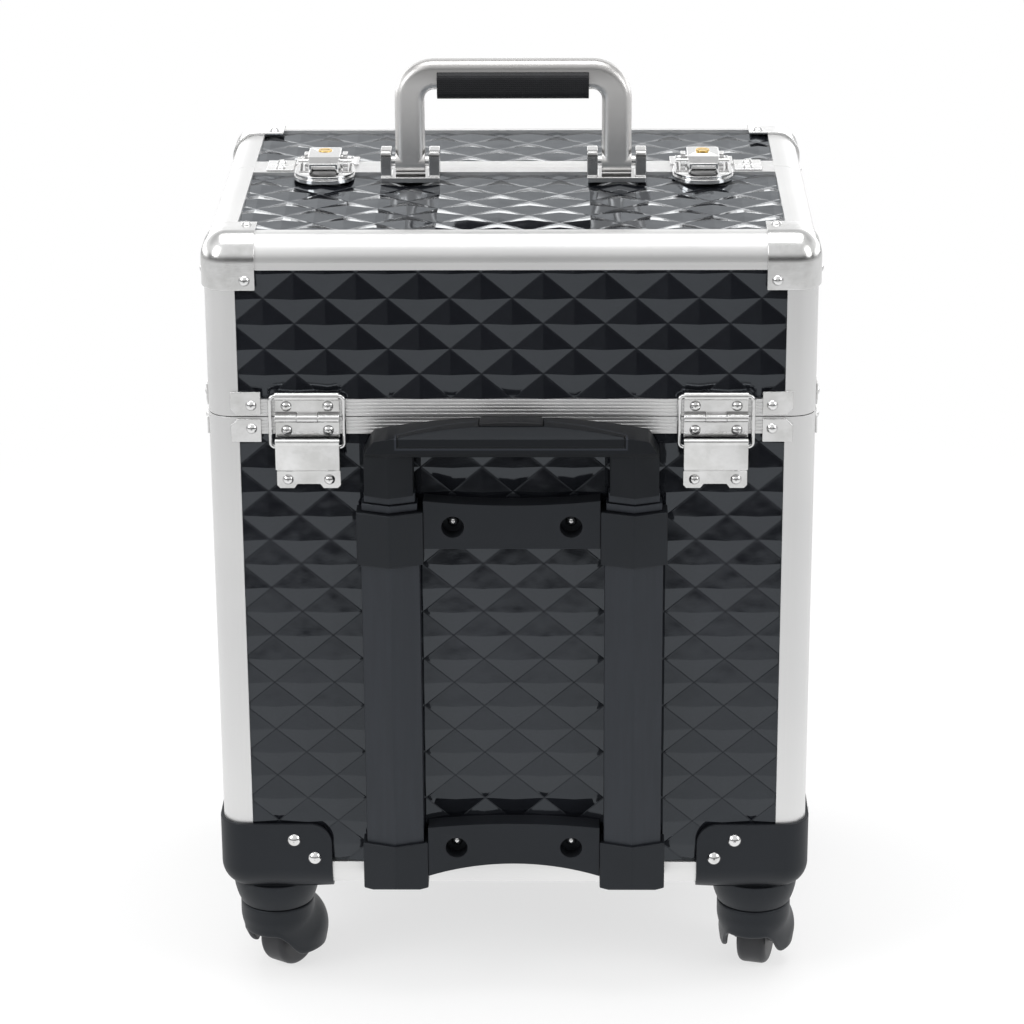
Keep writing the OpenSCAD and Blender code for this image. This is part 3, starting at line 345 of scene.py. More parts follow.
def lining_cloth(f):
    """Napped lining: dark, with a short pile that catches light at a slant."""
    pile = f.noise(1300.0, 2.0, 0.7)
    drift = f.noise(24.0, 4.0, 0.6)
    return {
        "Base Color": f.blend(drift.step(0.3, 0.7), tone(0.020, (1.0, 1.0, 1.08)), tone(0.034, (1.0, 1.0, 1.08))),
        "Roughness": 0.92,
        "Sheen Weight": 0.35,
        "Normal": f.node("ShaderNodeBump", None, {"Height": pile, "Distance": 0.0004, "Strength": 0.7}),
    }


def lever_plate(f):
    """Lock levers: bright plate with thin random wear."""
    wear = f.noise(170.0, 4.0, 0.6)
    return {
        "Base Color": f.blend(wear.step(0.45, 0.8), tone(0.74), tone(0.64)),
        "Metallic": 1.0,
        "Roughness": 0.07 + 0.07 * wear.step(0.4, 0.8),
        "Normal": eased(f, wear, 0.00002, 0.0010),
    }


FINISHES = {
    "panel": surface("embossed_sheet", embossed_sheet),
    "lining": surface("lining_cloth", lining_cloth),
    "rail": surface("satin_rail", satin_rail),
    "steel": surface("plated_steel", plated_steel),
    "chrome": surface("bright_plate", bright_plate),
    "brass": surface("polished_brass", polished_brass),
    "nickel": surface("satin_nickel", satin_nickel),
    "soft_black": surface("soft_black", soft_black),
    "tube_black": surface("coated_tube", coated_tube),
    "wheel": surface("tread_black", tread_black),
    "plastic": surface("moulded_black", moulded_black),
}
SPECIAL = {
    "trolley_grip": surface("grip_black", grip_black),
    "lock_lever_left": surface("lever_plate", lever_plate),
    "handle_brackets": surface("bracket_zinc", bracket_zinc),
}
SPECIAL["lock_lever_right"] = SPECIAL["lock_lever_left"]
SPECIAL["trolley_tubes"] = FINISHES["tube_black"]
GLOSSY_TOP = surface("embossed_top", lambda f: embossed_sheet(f, index=2.3, waviness=0.24))

BODY_OF = {node: body for body, nodes in frame["record"]["behaviour"]["bodies"].items() for node in nodes}
SLOT_OF = {part["node"]: part["material_slot"] for part in frame["record"]["subparts"]}

for node, slot in SLOT_OF.items():
    held = frame["nodes"][node]
    held.data.materials.clear()
    held.data.materials.append(SPECIAL.get(node, FINISHES[slot]))


# Sharp pressed and moulded edges: a copy of the piece is joined up, its flat faces are made whole, and every edge
# sharper than SHARP is rounded by the width given here in millimetres
EASED = {
    "trolley_grip": 1.2, "trolley_tube_ends": 0.7, "trolley_tubes": 0.7, "trolley_bridges": 0.7,
    "release_button": 0.8, "caster_housings": 0.8, "lock_lever_left": 1.1, "lock_lever_right": 1.1,
    "lock_bases": 0.5, "handle_brackets": 0.6, "hinge_keepers": 0.3, "hinge_lower_leaves": 0.3,
    "near_hinge_leaves": 0.3, "far_hinge_leaves": 0.3, "base_rim_plates": 0.4, "near_lid_plates": 0.4,
    "far_lid_plates": 0.4, "near_lid_corner_caps": 0.5, "far_lid_corner_caps": 0.5, "lock_strikes": 0.35,
    "trolley_mid_tubes": 0.4, "trolley_inner_tubes": 0.4, "handle_grip": 1.0,
}
SHARP, FLAT = math.radians(32.0), math.radians(0.4)
WELD, BEVEL_STEPS = 1e-6, 2
# Caster necks: place of the swivel, level of the foot, radii of the rings that move, and how far they move
SWIVEL_IN, NECK_Z, NECK_RINGS, NECK_SLACK, NECK_FULLER = 30.0, 51.0, (15.0, 25.5), 0.5, 2.5
# Tube feet: the cut starts at this depth and level and rises toward the front
FOOT_FRONT, FOOT_LOW, FOOT_SLOPE = 14.35, 76.9, 0.51
# Bracket ears: the pin's place, the core round it that stays, and the power that squares the rest
HANDLE_AT, HANDLE_PIN, EAR_CORE, EAR_POWER = 130.0, 11.0, 5.0, 7.0


def fuller_neck(work):
    """Widens the round necks of the caster housings: the rings between the neck's foot and the housing move out."""
    for vertex in work.verts:
        x, y, z = vertex.co / MM
        axis = Vector((math.copysign(CASE_W / 2 - SWIVEL_IN, x),
                       math.copysign(CASE_D / 2 - SWIVEL_IN, y - SHELL_Y) + SHELL_Y, z))
        out = vertex.co / MM - axis
        in_ring = NECK_RINGS[0] < out.length < NECK_RINGS[1]
        if in_ring and NECK_Z - NECK_SLACK < z < RIDE_H + NECK_SLACK:
            vertex.co = (axis + out * (1.0 + NECK_FULLER / out.length)) * MM


def flat_feet(work):
    """Slants the underside of the tube feet up to their front ridge."""
    spot = Vector((0, SHELL_Y - CASE_D / 2 - FOOT_FRONT, FOOT_LOW)) * MM
    everything = work.verts[:] + work.edges[:] + work.faces[:]
    bmesh.ops.bisect_plane(work, geom=everything, plane_co=spot, plane_no=(0, -FOOT_SLOPE, -1),
                           clear_outer=True, dist=WELD / 10)
    bmesh.ops.holes_fill(work, edges=[e for e in work.edges if e.is_boundary])


def square_ears(work):
    """Squares the ears of the handle brackets above their pin: a point at the angle t round the pin moves out by
    (|cos t|^n + |sin t|^n)^(-1/n)."""
    pin_y, pin_z = SHELL_Y - CASE_D / 2 + HANDLE_AT, TOP_Z + HANDLE_PIN
    for vertex in work.verts:
        y, z = vertex.co.y / MM - pin_y, vertex.co.z / MM - pin_z
        reach = math.hypot(y, z)
        if z > 0 and reach > EAR_CORE:
            grown = (abs(y / reach) ** EAR_POWER + abs(z / reach) ** EAR_POWER) ** (-1.0 / EAR_POWER)
            vertex.co.y, vertex.co.z = (pin_y + y * grown) * MM, (pin_z + z * grown) * MM


# Reshaped before their flat faces are made whole, trimmed after that, and pieces with faces like rings round a hole,
# which are split so that they can't close over the hole when their edges are rounded
RESHAPED = {"caster_housings": fuller_neck, "handle_brackets": square_ears}
TRIMMED = {"trolley_tube_ends": flat_feet}
RINGED = ("trolley_mid_tubes", "trolley_grip")


def eased_copy(node, width):
    """A copy of a piece with rounded edges, reshaped first where RESHAPED or TRIMMED says so, in the piece's stead."""
    work = bmesh.new()
    work.from_mesh(frame["nodes"][node].data)
    bmesh.ops.remove_doubles(work, verts=work.verts[:], dist=WELD)
    if node in RESHAPED:
        RESHAPED[node](work)
    bmesh.ops.dissolve_limit(work, angle_limit=FLAT, verts=work.verts[:], edges=work.edges[:])
    if node in TRIMMED:
        TRIMMED[node](work)
    if node in RINGED:
        bmesh.ops.connect_verts_concave(work, faces=work.faces[:])
    bmesh.ops.recalc_face_normals(work, faces=work.faces[:])
    mesh = bpy.data.meshes.new(node + "_eased")
    work.to_mesh(mesh)
    work.free()
    mesh.shade_smooth()
    mesh.set_sharp_from_angle(angle=SHARP)
    mesh.materials.append(frame["nodes"][node].data.materials[0])
    piece = bpy.data.objects.new(mesh.name, mesh)
    bpy.context.scene.collection.objects.link(piece)
    bevel = piece.modifiers.new("eased", "BEVEL")
    bevel.width, bevel.segments = width * MM, BEVEL_STEPS
    bevel.limit_method, bevel.angle_limit = "ANGLE", SHARP
    bevel.use_clamp_overlap, bevel.harden_normals, bevel.miter_outer = True, True, "MITER_ARC"
    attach(piece, BODY_OF[node])
    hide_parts(node)


for node, width in EASED.items():
    eased_copy(node, width)


# Embossed panels. In slanted coordinates a and b, which count diamonds along the two groove directions, every groove
# is a whole number, so a grid in a and b has its lines along the grooves. GROOVE is half a groove's width, GROOVE_FOOT
# the place of its lowest line, EDGE the rounding of a diamond's foot and FOOT_END where that rounding is over, all as
# shares of a diamond. PEAK keeps the tips a little under the full height
GROOVE, GROOVE_FOOT, EDGE, FOOT_END, PEAK = 0.012, 0.75, 0.008, 0.034, 0.985
STATIONS = np.array([0.0, GROOVE * GROOVE_FOOT, GROOVE, FOOT_END])
CELL = np.unique(np.concatenate([STATIONS, [0.5], 1.0 - STATIONS[1:]]))
# Depth of the grooves, how far a panel goes in under its rails, and the spare round the grid, in millimetres
WALL_GROOVE, TOP_GROOVE = 0.13, 0.06
UNDER_RAIL, SPARE, ON_PLANE = 1.5, 2.0, 1e-4


def groove_depth(s):
    """Depth of a groove at the signed distance s from its line, upward positive: it falls evenly from -g to k g
    and rises steeply from there to g."""
    foot = GROOVE * GROOVE_FOOT
    fall = (s + GROOVE) / (foot + GROOVE)
    rise = (GROOVE - s) / (GROOVE - foot)
    return np.clip(np.minimum(fall, rise), 0.0, 1.0)


def pyramid_height(a, b, emboss, deep):
    """Height of the emboss: each diamond is a pyramid over t, the smaller distance to the grooves round it less
    half the groove's width, with its foot rounded by (t + sqrt(t^2 + e^2)) / 2. A groove with a slanted floor
    runs between the diamonds."""
    off_a, off_b = a - np.round(a), np.round(b) - b
    run = np.minimum(abs(off_a), abs(off_b)) - GROOVE
    rise = 0.5 * (run + np.sqrt(run * run + EDGE * EDGE))
    channel = np.maximum(groove_depth(off_a), groove_depth(off_b))
    return PEAK * emboss * rise / (0.5 - GROOVE) - deep * channel


def embossed_grid(width, height, cx, cz, emboss, deep):
    """Vertices and triangles over width by height: x = cx + W (a + b) / 2, z = cz + H (a - b) / 2,
    y = -pyramid_height(a, b, emboss, deep). Each cell is split along its pyramid's ridge."""
    span = np.array([[x, z] for x in (0.0, width) for z in (0.0, height)]) - (cx, cz)
    slant = span / (DIAMOND_W, DIAMOND_H)
    lines = []
    for v in (slant[:, 0] + slant[:, 1], slant[:, 0] - slant[:, 1]):
        first, last = math.floor(v.min()), math.ceil(v.max())
        lines.append(np.append((np.arange(first, last)[:, None] + CELL[None, :]).ravel(), last))
    a, b = np.meshgrid(*lines, indexing="ij")
    x, z = cx + DIAMOND_W * (a + b) / 2, cz + DIAMOND_H * (a - b) / 2
    points = np.stack([x, -pyramid_height(a, b, emboss, deep), z], -1)
    index = np.arange(a.size).reshape(a.shape)
    mid_a, mid_b = ((v[:-1, :-1] + v[1:, 1:]) / 2 % 1.0 - 0.5 for v in (a, b))
    same = (mid_a * mid_b > 0)[..., None]
    p00, p10, p11, p01 = index[:-1, :-1], index[1:, :-1], index[1:, 1:], index[:-1, 1:]
    first = np.where(same, np.stack([p00, p11, p10], -1), np.stack([p00, p01, p10], -1))
    second = np.where(same, np.stack([p00, p01, p11], -1), np.stack([p10, p01, p11], -1))
    xm, zm = (v[:-1, :-1] + v[1:, 1:] for v in (x / 2, z / 2))
    keep = (xm > -SPARE) & (xm < width + SPARE) & (zm > -SPARE) & (zm < height + SPARE)
    triangles = np.concatenate([first[keep], second[keep]])
    used, packed = np.unique(triangles, return_inverse=True)
    return points.reshape(-1, 3)[used], packed.reshape(-1, 3)


def embossed_block(width, height, margins, cx, cz, emboss=EMBOSS, deep=WALL_GROOVE):
    """A closed panel: the embossed grid cut to the margins that show, with straight sides to a flat back."""
    points, triangles = embossed_grid(width, height, cx, cz, emboss, deep)
    low = (margins[0] - UNDER_RAIL, margins[2] - UNDER_RAIL)
    high = (width - margins[1] + UNDER_RAIL, height - margins[3] + UNDER_RAIL)
    mesh = bpy.data.meshes.new("panel_work")
    mesh.from_pydata(points, [], triangles)
    work = bmesh.new()
    work.from_mesh(mesh)
    bpy.data.meshes.remove(mesh)
    for spot, facing in (((low[0], 0, 0), (-1, 0, 0)), ((high[0], 0, 0), (1, 0, 0)),
                         ((0, 0, low[1]), (0, 0, -1)), ((0, 0, high[1]), (0, 0, 1))):
        everything = work.verts[:] + work.edges[:] + work.faces[:]
        bmesh.ops.bisect_plane(work, geom=everything, plane_co=spot, plane_no=facing,
                               clear_outer=True, dist=ON_PLANE)
    rim = [e for e in work.edges if e.is_boundary]
    swept = bmesh.ops.extrude_edge_only(work, edges=rim)["geom"]
    for vertex in (g for g in swept if isinstance(g, bmesh.types.BMVert)):
        vertex.co.y = PANEL_T
    bmesh.ops.edgeloop_fill(work, edges=[e for e in work.edges if e.is_boundary])
    bmesh.ops.recalc_face_normals(work, faces=work.faces[:])
    return work


def panel_piece(name, blocks, finish):
    """One piece from several blocks, each set by its origin and its three directions."""
    whole = bmesh.new()
    for block, origin, directions in blocks:
        rows = [[*(d[k] * MM for d in directions), origin[k] * MM] for k in range(3)]
        setting = Matrix(rows + [[0, 0, 0, 1]])
        block.transform(setting)
        if setting.determinant() < 0:
            bmesh.ops.reverse_faces(block, faces=block.faces[:])
        part = bpy.data.meshes.new("panel_part")
        block.to_mesh(part)
        block.free()
        whole.from_mesh(part)
        bpy.data.meshes.remove(part)
    mesh = bpy.data.meshes.new(name)
    whole.to_mesh(mesh)
    whole.free()
    mesh.materials.append(finish)
    piece = bpy.data.objects.new(name, mesh)
    bpy.context.scene.collection.objects.link(piece)
    return piece


WIDE, DEEP = CASE_W - 2 * RAIL_R, CASE_D - 2 * RAIL_R
IN_RAIL, IN_RIM, IN_SEAM = RAIL_W - RAIL_R, RIM_H - FLANGE_T, SEAM_RIM - FLANGE_T
WALL_LOW, WALL_TOP = RIDE_H + RAIL_R, SPLIT_Z - PANEL_EDGE
LID_LOW, LID_TOP = SPLIT_Z + PANEL_EDGE, TOP_Z - RAIL_R
# Where two grooves cross on each face, which sets the pattern there
CROSS_X, CROSS_BASE, CROSS_LID = 145.0, SPLIT_Z - 48.0, SPLIT_Z + 72.0
CROSS_TOP = (135.4, 88.0)
UP = (0, 0, 1)


def face_wall(side, low, high, margins, cross):
    """A wall across the width on the near or far face."""
    block = embossed_block(WIDE, high - low, margins, WIDE / 2 - CROSS_X, cross - low)
    origin = (side * WIDE / 2, side * (CASE_D / 2 - RAIL_T) + SHELL_Y, low)
    return block, origin, ((-side, 0, 0), (0, -side, 0), UP)


def end_walls(side, length, low, high, margins, cross):
    """The two walls along the depth, from the corner rail on the near or far face."""
    for hand in (-1, 1):
        block = embossed_block(length, high - low, margins, DIAMOND_W / 2, cross - low)
        origin = (hand * (CASE_W / 2 - RAIL_T), side * (CASE_D / 2 - RAIL_R - length) + SHELL_Y, low)
        yield block, origin, ((0, side, 0), (-hand, 0, 0), UP)


def lid_top(side, length):
    """A lid's top panel, from the corner rail to the seam."""
    block = embossed_block(WIDE, length, (IN_RAIL, IN_RAIL, IN_RAIL, IN_SEAM),
                           WIDE / 2 - CROSS_TOP[0], CROSS_TOP[1] - RAIL_R, TOP_EMBOSS, TOP_GROOVE)
    origin = (side * WIDE / 2, side * (CASE_D / 2 - RAIL_R) + SHELL_Y, TOP_Z - RAIL_T)
    return block, origin, ((-side, 0, 0), (0, 0, -1), (0, -side, 0))


base_margins = (IN_RAIL, IN_RAIL, IN_RAIL, IN_RIM)
base_blocks = [face_wall(side, WALL_LOW, WALL_TOP, base_margins, CROSS_BASE) for side in (NEAR, FAR)]
base_blocks += end_walls(NEAR, DEEP, WALL_LOW, WALL_TOP, base_margins, CROSS_BASE)
panels = [("base_embossed_walls", "base", "base_walls", base_blocks)]
for side, lid in ((NEAR, "near_lid"), (FAR, "far_lid")):
    length = (SEAM_AT if side == NEAR else CASE_D - SEAM_AT) - RAIL_R - PANEL_EDGE
    walls = [face_wall(side, LID_LOW, LID_TOP, (IN_RAIL, IN_RAIL, IN_RIM, IN_RAIL), CROSS_LID)]
    walls += end_walls(side, length, LID_LOW, LID_TOP, (IN_SEAM, IN_RAIL, IN_RIM, IN_RAIL), CROSS_LID)
    panels.append((lid + "_embossed_walls", lid, lid + "_walls", walls))
    panels.append((lid + "_embossed_top", lid, lid + "_top", [lid_top(side, length)]))
for name, body, node, blocks in panels:
    piece = panel_piece(name, blocks, GLOSSY_TOP if name.endswith("top") else FINISHES["panel"])
    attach(piece, body)
    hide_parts(node)


# Caster hoods. Each is a ball round the axle that flows into the round neck under the swivel, and is open on the
# side away from the trail. Measures are in millimetres from the swivel axis and the floor.
AXLE_Z, TRAIL = 21.0, 12.0
NECK_R, NECK_LEAST, NECK_FROM, NECK_TO = 23.0, 0.6, 8.0, 42.0
HOOD_TOP, HOOD_EDGE, CEILING = 50.2, 1.6, 45.0
BALL_Z, BALL_WIDE, BALL_LONG, BALL_EASE = 25.0, 24.0, 25.5, 6.0
# The section's middle shifts by this share of the trail between these two levels
DRAWN, DRAWN_FROM, DRAWN_TO = 0.7, 46.0, 24.0
# The open edge: its level over the wheel, beside it and behind, and the cosines between which the arch falls
RIM_HIGH, RIM_SIDE, RIM_BACK = 32.0, 14.5, 11.5
MOUTH = (0.42, 0.96)
# The wall behind and in front, and a bead along the open edge
WALL_BACK, WALL_FRONT, BEAD, BEAD_HIGH, LIP_ROUND = 1.2, 3.5, 0.7, 3.2, 0.45
STUD_R, STUD_TOP = 4.0, 62.0
# The plates beside the wheel: hole, radius, the two faces, and how far they go into the hood's ceiling
AXLE_HOLE, CHEEK_R, CHEEK_IN, CHEEK_OUT, INTO_CEILING = 3.08, 6.5, 10.1, 13.0, 1.0
# How far each caster is turned, in degrees, as in the part's source
CASTER_TURN = (148.0, 166.0, -35.0, 28.0)
AROUND = np.linspace(0, 2 * np.pi, 161)[:-1]
HOOD_SHARP, HOOD_WELD = math.radians(38.0), 1e-7


def smooth(share):
    """0 to 1 with both ends eased: 3 s^2 - 2 s^3."""
    return share * share * (3.0 - 2.0 * share)


def larger(a, b, ease):
    """The larger of two values, with the crease between them rounded over the width ease."""
    share = np.clip(0.5 + 0.5 * (a - b) / ease, 0.0, 1.0)
    return b + (a - b) * share + ease * share * (1.0 - share)


def hood_middle(z):
    """How far the hood's section is drawn toward the trail at each level."""
    return -DRAWN * TRAIL * smooth(np.clip((DRAWN_FROM - z) / (DRAWN_FROM - DRAWN_TO), 0.0, 1.0))


def oval_edge(angle, offset, wide, long):
    """Distance t to an oval's edge from a point d off its centre along Y, where
    (t cos / w)^2 + ((t sin - d) / l)^2 = 1."""
    square = (np.cos(angle) / wide) ** 2 + (np.sin(angle) / long) ** 2
    half = offset * np.sin(angle) / long ** 2
    inside = half ** 2 - square * ((offset / long) ** 2 - 1.0)
    return np.where(inside > 0, (half + np.sqrt(np.maximum(inside, 0))) / square, 0.0)


def hood_radius(angle, z):
    """Distance from the section's middle to the skin: the larger of the ball's section and the neck's."""
    middle = hood_middle(z)
    share = np.sqrt(np.maximum(1.0 - ((z - BALL_Z) / BALL_LONG) ** 2, 0.01))
    ball = oval_edge(angle, -TRAIL - middle, BALL_WIDE * share, BALL_LONG * share)
    taper = smooth(np.clip((z - NECK_FROM) / (NECK_TO - NECK_FROM), 0.0, 1.0))
    neck_r = NECK_R * (NECK_LEAST + (1.0 - NECK_LEAST) * taper)
    return larger(np.maximum(ball, 0), oval_edge(angle, -middle, neck_r, neck_r), BALL_EASE)


def hood_rim(angle):
    """Level of the open edge at each angle: low at the sides and behind, with an arch over the wheel in front."""
    arch = smooth(np.clip((MOUTH[1] - abs(np.cos(angle))) / (MOUTH[1] - MOUTH[0]), 0.0, 1.0))
    low = RIM_SIDE + (RIM_BACK - RIM_SIDE) * np.clip(-np.sin(angle), 0.0, 1.0) ** 2
    return low + (RIM_HIGH - low) * arch * (np.sin(angle) > 0)


def ring_skin(loops):
    """Faces of a skin through closed loops of equal count, with a flat end on the first and the last."""
    rows, count = loops.shape[:2]
    i, j = np.meshgrid(np.arange(rows - 1), np.arange(count), indexing="ij")
    after = (j + 1) % count
    quads = np.stack([i * count + j, i * count + after, (i + 1) * count + after, (i + 1) * count + j], -1)
    ends = [list(range(count))[::-1], list(range((rows - 1) * count, rows * count))]
    return quads.reshape(-1, 4).tolist() + ends


def hood_loops():
    """The hood's profile as loops: ceiling, inner wall, rounded open edge, outer skin, round top edge, stud."""
    rim = hood_rim(AROUND)
    thick = WALL_BACK + (WALL_FRONT - WALL_BACK) * (0.5 + 0.5 * np.sin(AROUND)) ** 2
    levels = [(CEILING + (rim - CEILING) * u, thick) for u in np.linspace(0.0, 1.0, 12)]
    for v in np.linspace(0, np.pi, 10)[1:-1]:
        inset = thick * (0.5 + 0.5 * np.cos(v)) - BEAD * np.sin(v / 2) ** 2
        levels.append((rim - LIP_ROUND * thick * np.sin(v), inset))
    for u in np.linspace(0.0, 1.0, 30):
        z = rim + (HOOD_TOP - HOOD_EDGE - rim) * u
        levels.append((z, -BEAD * np.exp(-((z - rim) / BEAD_HIGH) ** 2)))
    for v in np.linspace(0, np.pi / 2, 6)[1:]:
        z = HOOD_TOP - HOOD_EDGE + HOOD_EDGE * math.sin(v)
        levels.append((np.full_like(rim, z), np.full_like(rim, HOOD_EDGE * (1 - math.cos(v)))))
    loops = []
    for z, inset in levels:
        reach = hood_radius(AROUND, z) - inset
        loops.append(np.stack([reach * np.cos(AROUND), hood_middle(z) + reach * np.sin(AROUND), z], -1))
    for z in (HOOD_TOP, STUD_TOP):
        loops.append(np.stack([STUD_R * np.cos(AROUND), STUD_R * np.sin(AROUND), np.full_like(AROUND, z)], -1))
    return np.array(loops)


def cheek_loops(hand):
    """A plate beside the wheel with a hole for the axle, rising in a half ellipse to the ceiling."""
    tall = np.where(np.sin(AROUND) > 0, CEILING + INTO_CEILING - AXLE_Z, CHEEK_R)
    outer = 1.0 / np.sqrt((np.cos(AROUND) / CHEEK_R) ** 2 + (np.sin(AROUND) / tall) ** 2)
    faces = [(AXLE_HOLE, CHEEK_IN), (outer, CHEEK_IN), (outer, CHEEK_OUT), (AXLE_HOLE, CHEEK_OUT),
             (AXLE_HOLE, CHEEK_IN)]
    return np.array([np.stack([np.full_like(AROUND, hand * x), r * np.cos(AROUND) - TRAIL,
                               r * np.sin(AROUND) + AXLE_Z], -1) for r, x in faces])


def caster_hood(index):
    """One hood with its two cheeks, turned and set at its corner."""
    skin = hood_loops()
    points, faces = [skin.reshape(-1, 3)], ring_skin(skin)
    for hand in (-1, 1):
        loops = cheek_loops(hand)
        start = sum(len(p) for p in points)
        points.append(loops.reshape(-1, 3))
        faces += [[start + k for k in face] for face in ring_skin(loops)[:-2]]
    turn = math.radians(CASTER_TURN[index])
    cos, sin = math.cos(turn), math.sin(turn)
    spin = np.array([[cos, sin, 0], [-sin, cos, 0], [0, 0, 1]])
    corner = ((1 if index % 2 else -1) * (CASE_W / 2 - SWIVEL_IN),
              (1 if index > 1 else -1) * (CASE_D / 2 - SWIVEL_IN) + SHELL_Y, 0.0)
    mesh = bpy.data.meshes.new("caster_hood_%d" % (index + 1))
    mesh.from_pydata((np.concatenate(points) @ spin + corner) * MM, [], faces)
    work = bmesh.new()
    work.from_mesh(mesh)
    bmesh.ops.remove_doubles(work, verts=work.verts[:], dist=HOOD_WELD)
    bmesh.ops.recalc_face_normals(work, faces=work.faces[:])
    work.to_mesh(mesh)
    work.free()
    mesh.shade_smooth()
    mesh.set_sharp_from_angle(angle=HOOD_SHARP)
    mesh.materials.append(FINISHES["plastic"])
    piece = bpy.data.objects.new(mesh.name, mesh)
    bpy.context.scene.collection.objects.link(piece)
    return piece


for index in range(4):
    hood = caster_hood(index)
    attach(hood, "fork_%d" % (index + 1))
    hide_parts("caster_fork_%d" % (index + 1))


# Camera, at the viewing angle of the picture: lens and sensor in millimetres, angles in radians, and the place from
# the middle of the near face's split
LENS, SENSOR, CLIP_END = 125.28, 36.0, 50.0
PITCH, YAW, ROLL = 0.3651, 0.0168, 0.0062
ASIDE, BACK, ABOVE = 33.24, 1982.44, 697.56
CAMERA_AT = Vector((ASIDE, -BACK - CASE_D / 2 + SHELL_Y, ABOVE + SPLIT_Z)) * MM
right = Vector((math.cos(YAW), math.sin(YAW), 0))
ahead = Vector((-math.sin(YAW) * math.cos(PITCH), math.cos(YAW) * math.cos(PITCH), -math.sin(PITCH)))
above = right.cross(ahead)
cam_right = right * math.cos(ROLL) - above * math.sin(ROLL)
cam_up = right * math.sin(ROLL) + above * math.cos(ROLL)
camera = bpy.data.objects.new("camera", bpy.data.cameras.new("camera"))
camera.data.lens, camera.data.sensor_width = LENS, SENSOR
camera.data.clip_end = CLIP_END
camera.matrix_world = Matrix.LocRotScale(
    CAMERA_AT, Matrix((cam_right, cam_up, -ahead)).transposed().to_quaternion(), None)
bpy.context.scene.collection.objects.link(camera)
bpy.context.scene.camera = camera


# Floor, backdrop and light. The floor's glow in a reflection is FLOOR_GLOW by the case, less each loss in FLOOR_LOSS
# over its range of distances in metres; for the camera it is a white that lets the shadow through near the case
FLOOR_GLOW, FLOOR_LOSS = 1.07, ((0.17, 0.40, 1.05), (0.83, 1.2, 5.2))
FLOOR_GREY, FLOOR_WHITE, SHADOW_ENDS = 0.92, 0.66, (0.35, 1.0)
# The room in front, with what its left and its upper part add, and the backdrop, with what it gains low down and
# loses high up
ROOM, ROOM_LEFT, ROOM_HIGH = 0.02, 0.12, 0.80
BACKDROP, BACKDROP_LOW, BACKDROP_HIGH = 0.98, 1.45, 0.36
LIGHTS_AIM = (0.0, 0.0, 0.3)


def shown(finish):
    """1 for what the camera, a reflection or a clear body sees straight."""
    rays = [finish.node("ShaderNodeLightPath", out=name)
            for name in ("Is Camera Ray", "Is Glossy Ray", "Is Transmission Ray")]
    return finish.node("ShaderNodeClamp", None, {"Value": rays[0] + rays[1] + rays[2]})


def pale_floor(finish):
    """A pale matt floor: it keeps a soft shadow where the case stands, is plain white further out, and in
    reflections fades with distance, as a floor does that the lights don't reach."""
    from_case = (finish.axis("X") ** 2.0 + finish.axis("Y") ** 2.0) ** 0.5
    seen = finish.node("ShaderNodeLightPath", out="Is Camera Ray")
    reflected = FLOOR_GLOW
    for loss, start, end in FLOOR_LOSS:
        reflected = reflected - loss * from_case.step(start, end)
    matt = finish.node("ShaderNodeBsdfDiffuse", None, {"Color": tone(FLOOR_GREY)})
    glow = finish.node("ShaderNodeEmission", None, {
        "Color": tone(1.0), "Strength": seen + (1.0 - seen) * reflected})
    white = (FLOOR_WHITE + (1.0 - FLOOR_WHITE) * from_case.step(*SHADOW_ENDS)) * seen + (1.0 - seen)
    mixed = finish.node("ShaderNodeMixShader", None, {0: white * shown(finish), 1: matt, 2: glow})
    finish.node("ShaderNodeOutputMaterial", None, {"Surface": mixed})


floor_finish = bpy.data.materials.new("pale_floor")
pale_floor(Finish(floor_finish))
FLOOR_IN, FLOOR_R, FLOOR_RINGS, FLOOR_TURNS = 0.02, 7.0, 12, 72
radius, turn = np.meshgrid(np.linspace(FLOOR_IN, FLOOR_R, FLOOR_RINGS),
                           np.linspace(0, 2 * np.pi, FLOOR_TURNS + 1)[:-1])
floor_points = np.stack([radius * np.cos(turn), radius * np.sin(turn), np.zeros_like(radius)], -1)
t, r = np.meshgrid(np.arange(FLOOR_TURNS), np.arange(FLOOR_RINGS - 1), indexing="ij")
here, after = t * FLOOR_RINGS + r, (t + 1) % FLOOR_TURNS * FLOOR_RINGS + r
floor_faces = np.stack([here, here + 1, after + 1, after], -1).reshape(-1, 4).tolist()
floor_faces.append([k * FLOOR_RINGS for k in range(FLOOR_TURNS)])
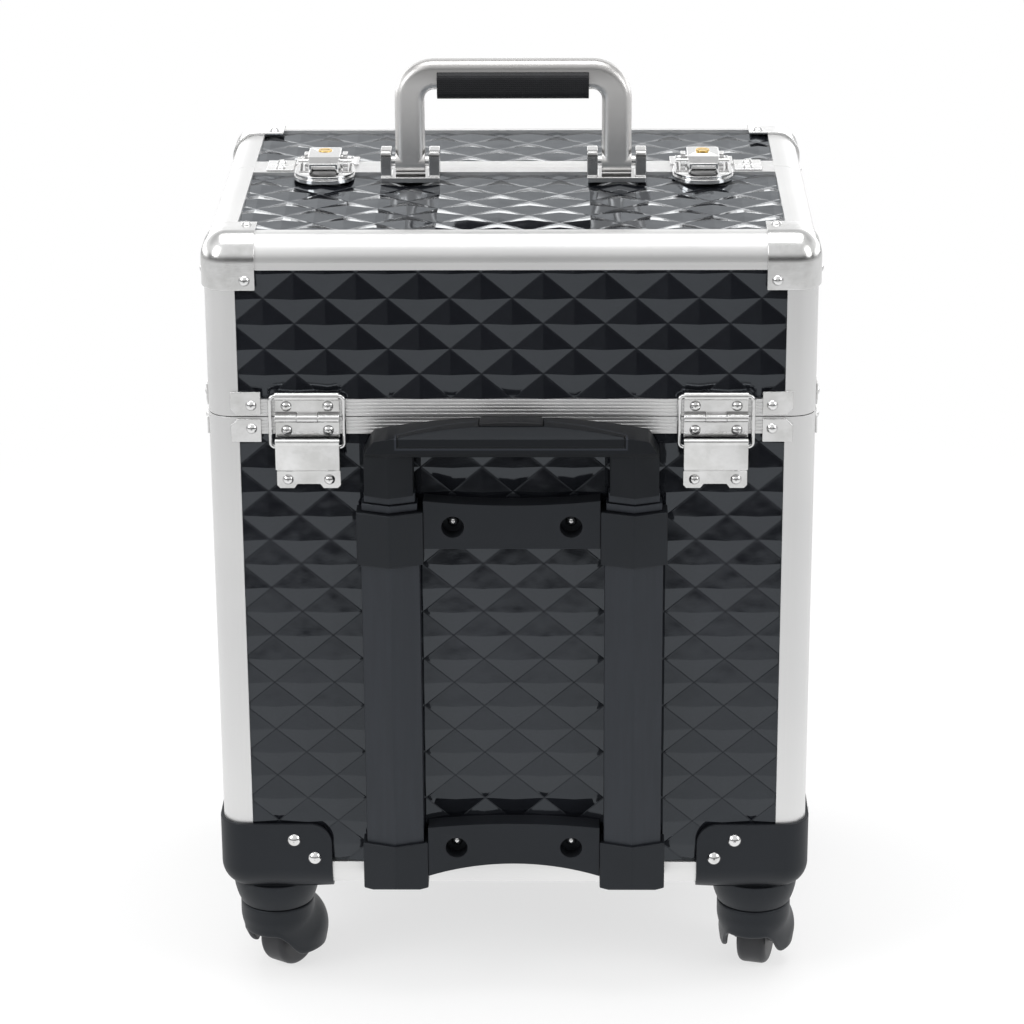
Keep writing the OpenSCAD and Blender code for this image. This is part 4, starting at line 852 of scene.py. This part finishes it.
floor_mesh = bpy.data.meshes.new("floor")
floor_mesh.from_pydata(floor_points.reshape(-1, 3), [], floor_faces)
floor_mesh.materials.append(floor_finish)
floor = bpy.data.objects.new("floor", floor_mesh)
bpy.context.scene.collection.objects.link(floor)


def studio(finish):
    """White for the camera; for the rest a backdrop behind that is brightest low down, and a dim room in front
    that is a little lighter on the left and overhead."""
    toward = finish.node("ShaderNodeTexCoord", out="Generated")
    x, y, z = (finish.node("ShaderNodeSeparateXYZ", None, {"Vector": toward}, out=name) for name in "XYZ")
    behind = y.step(-0.25, 0.35)
    left = (0.0 - x).step(-0.05, 0.30)
    front = ROOM + ROOM_LEFT * left + ROOM_HIGH * z.step(0.0, 0.42)
    backdrop = BACKDROP + BACKDROP_LOW * (1.0 - z.step(0.13, 0.27)) - BACKDROP_HIGH * z.step(0.42, 0.58)
    level = front * (1.0 - behind) + backdrop * behind
    seen = finish.node("ShaderNodeLightPath", out="Is Camera Ray")
    back = finish.node("ShaderNodeBackground", None, {
        "Color": tone(1.0), "Strength": seen + (1.0 - seen) * level})
    finish.node("ShaderNodeOutputWorld", None, {"Surface": back})


world = bpy.data.worlds.new("studio")
bpy.context.scene.world = world
studio(Finish(world))


def soft_light(name, place, aim, size, power):
    """A rectangular lamp that shines from its place toward the aim."""
    lamp = bpy.data.lights.new(name, "AREA")
    lamp.shape, lamp.size, lamp.size_y, lamp.energy = "RECTANGLE", size[0], size[1], power
    holder = bpy.data.objects.new(name, lamp)
    holder.location = place
    holder.rotation_euler = (Vector(aim) - Vector(place)).to_track_quat("-Z", "Y").to_euler()
    bpy.context.scene.collection.objects.link(holder)


soft_light("top_light", (0.0, 0.1, 2.1), LIGHTS_AIM, (1.8, 1.4), 26.0)
soft_light("left_light", (-1.7, -1.3, 1.5), LIGHTS_AIM, (0.9, 1.3), 16.0)
soft_light("right_light", (1.8, -1.0, 1.2), LIGHTS_AIM, (0.7, 1.2), 10.0)

bpy.context.scene.view_settings.view_transform = "Standard"
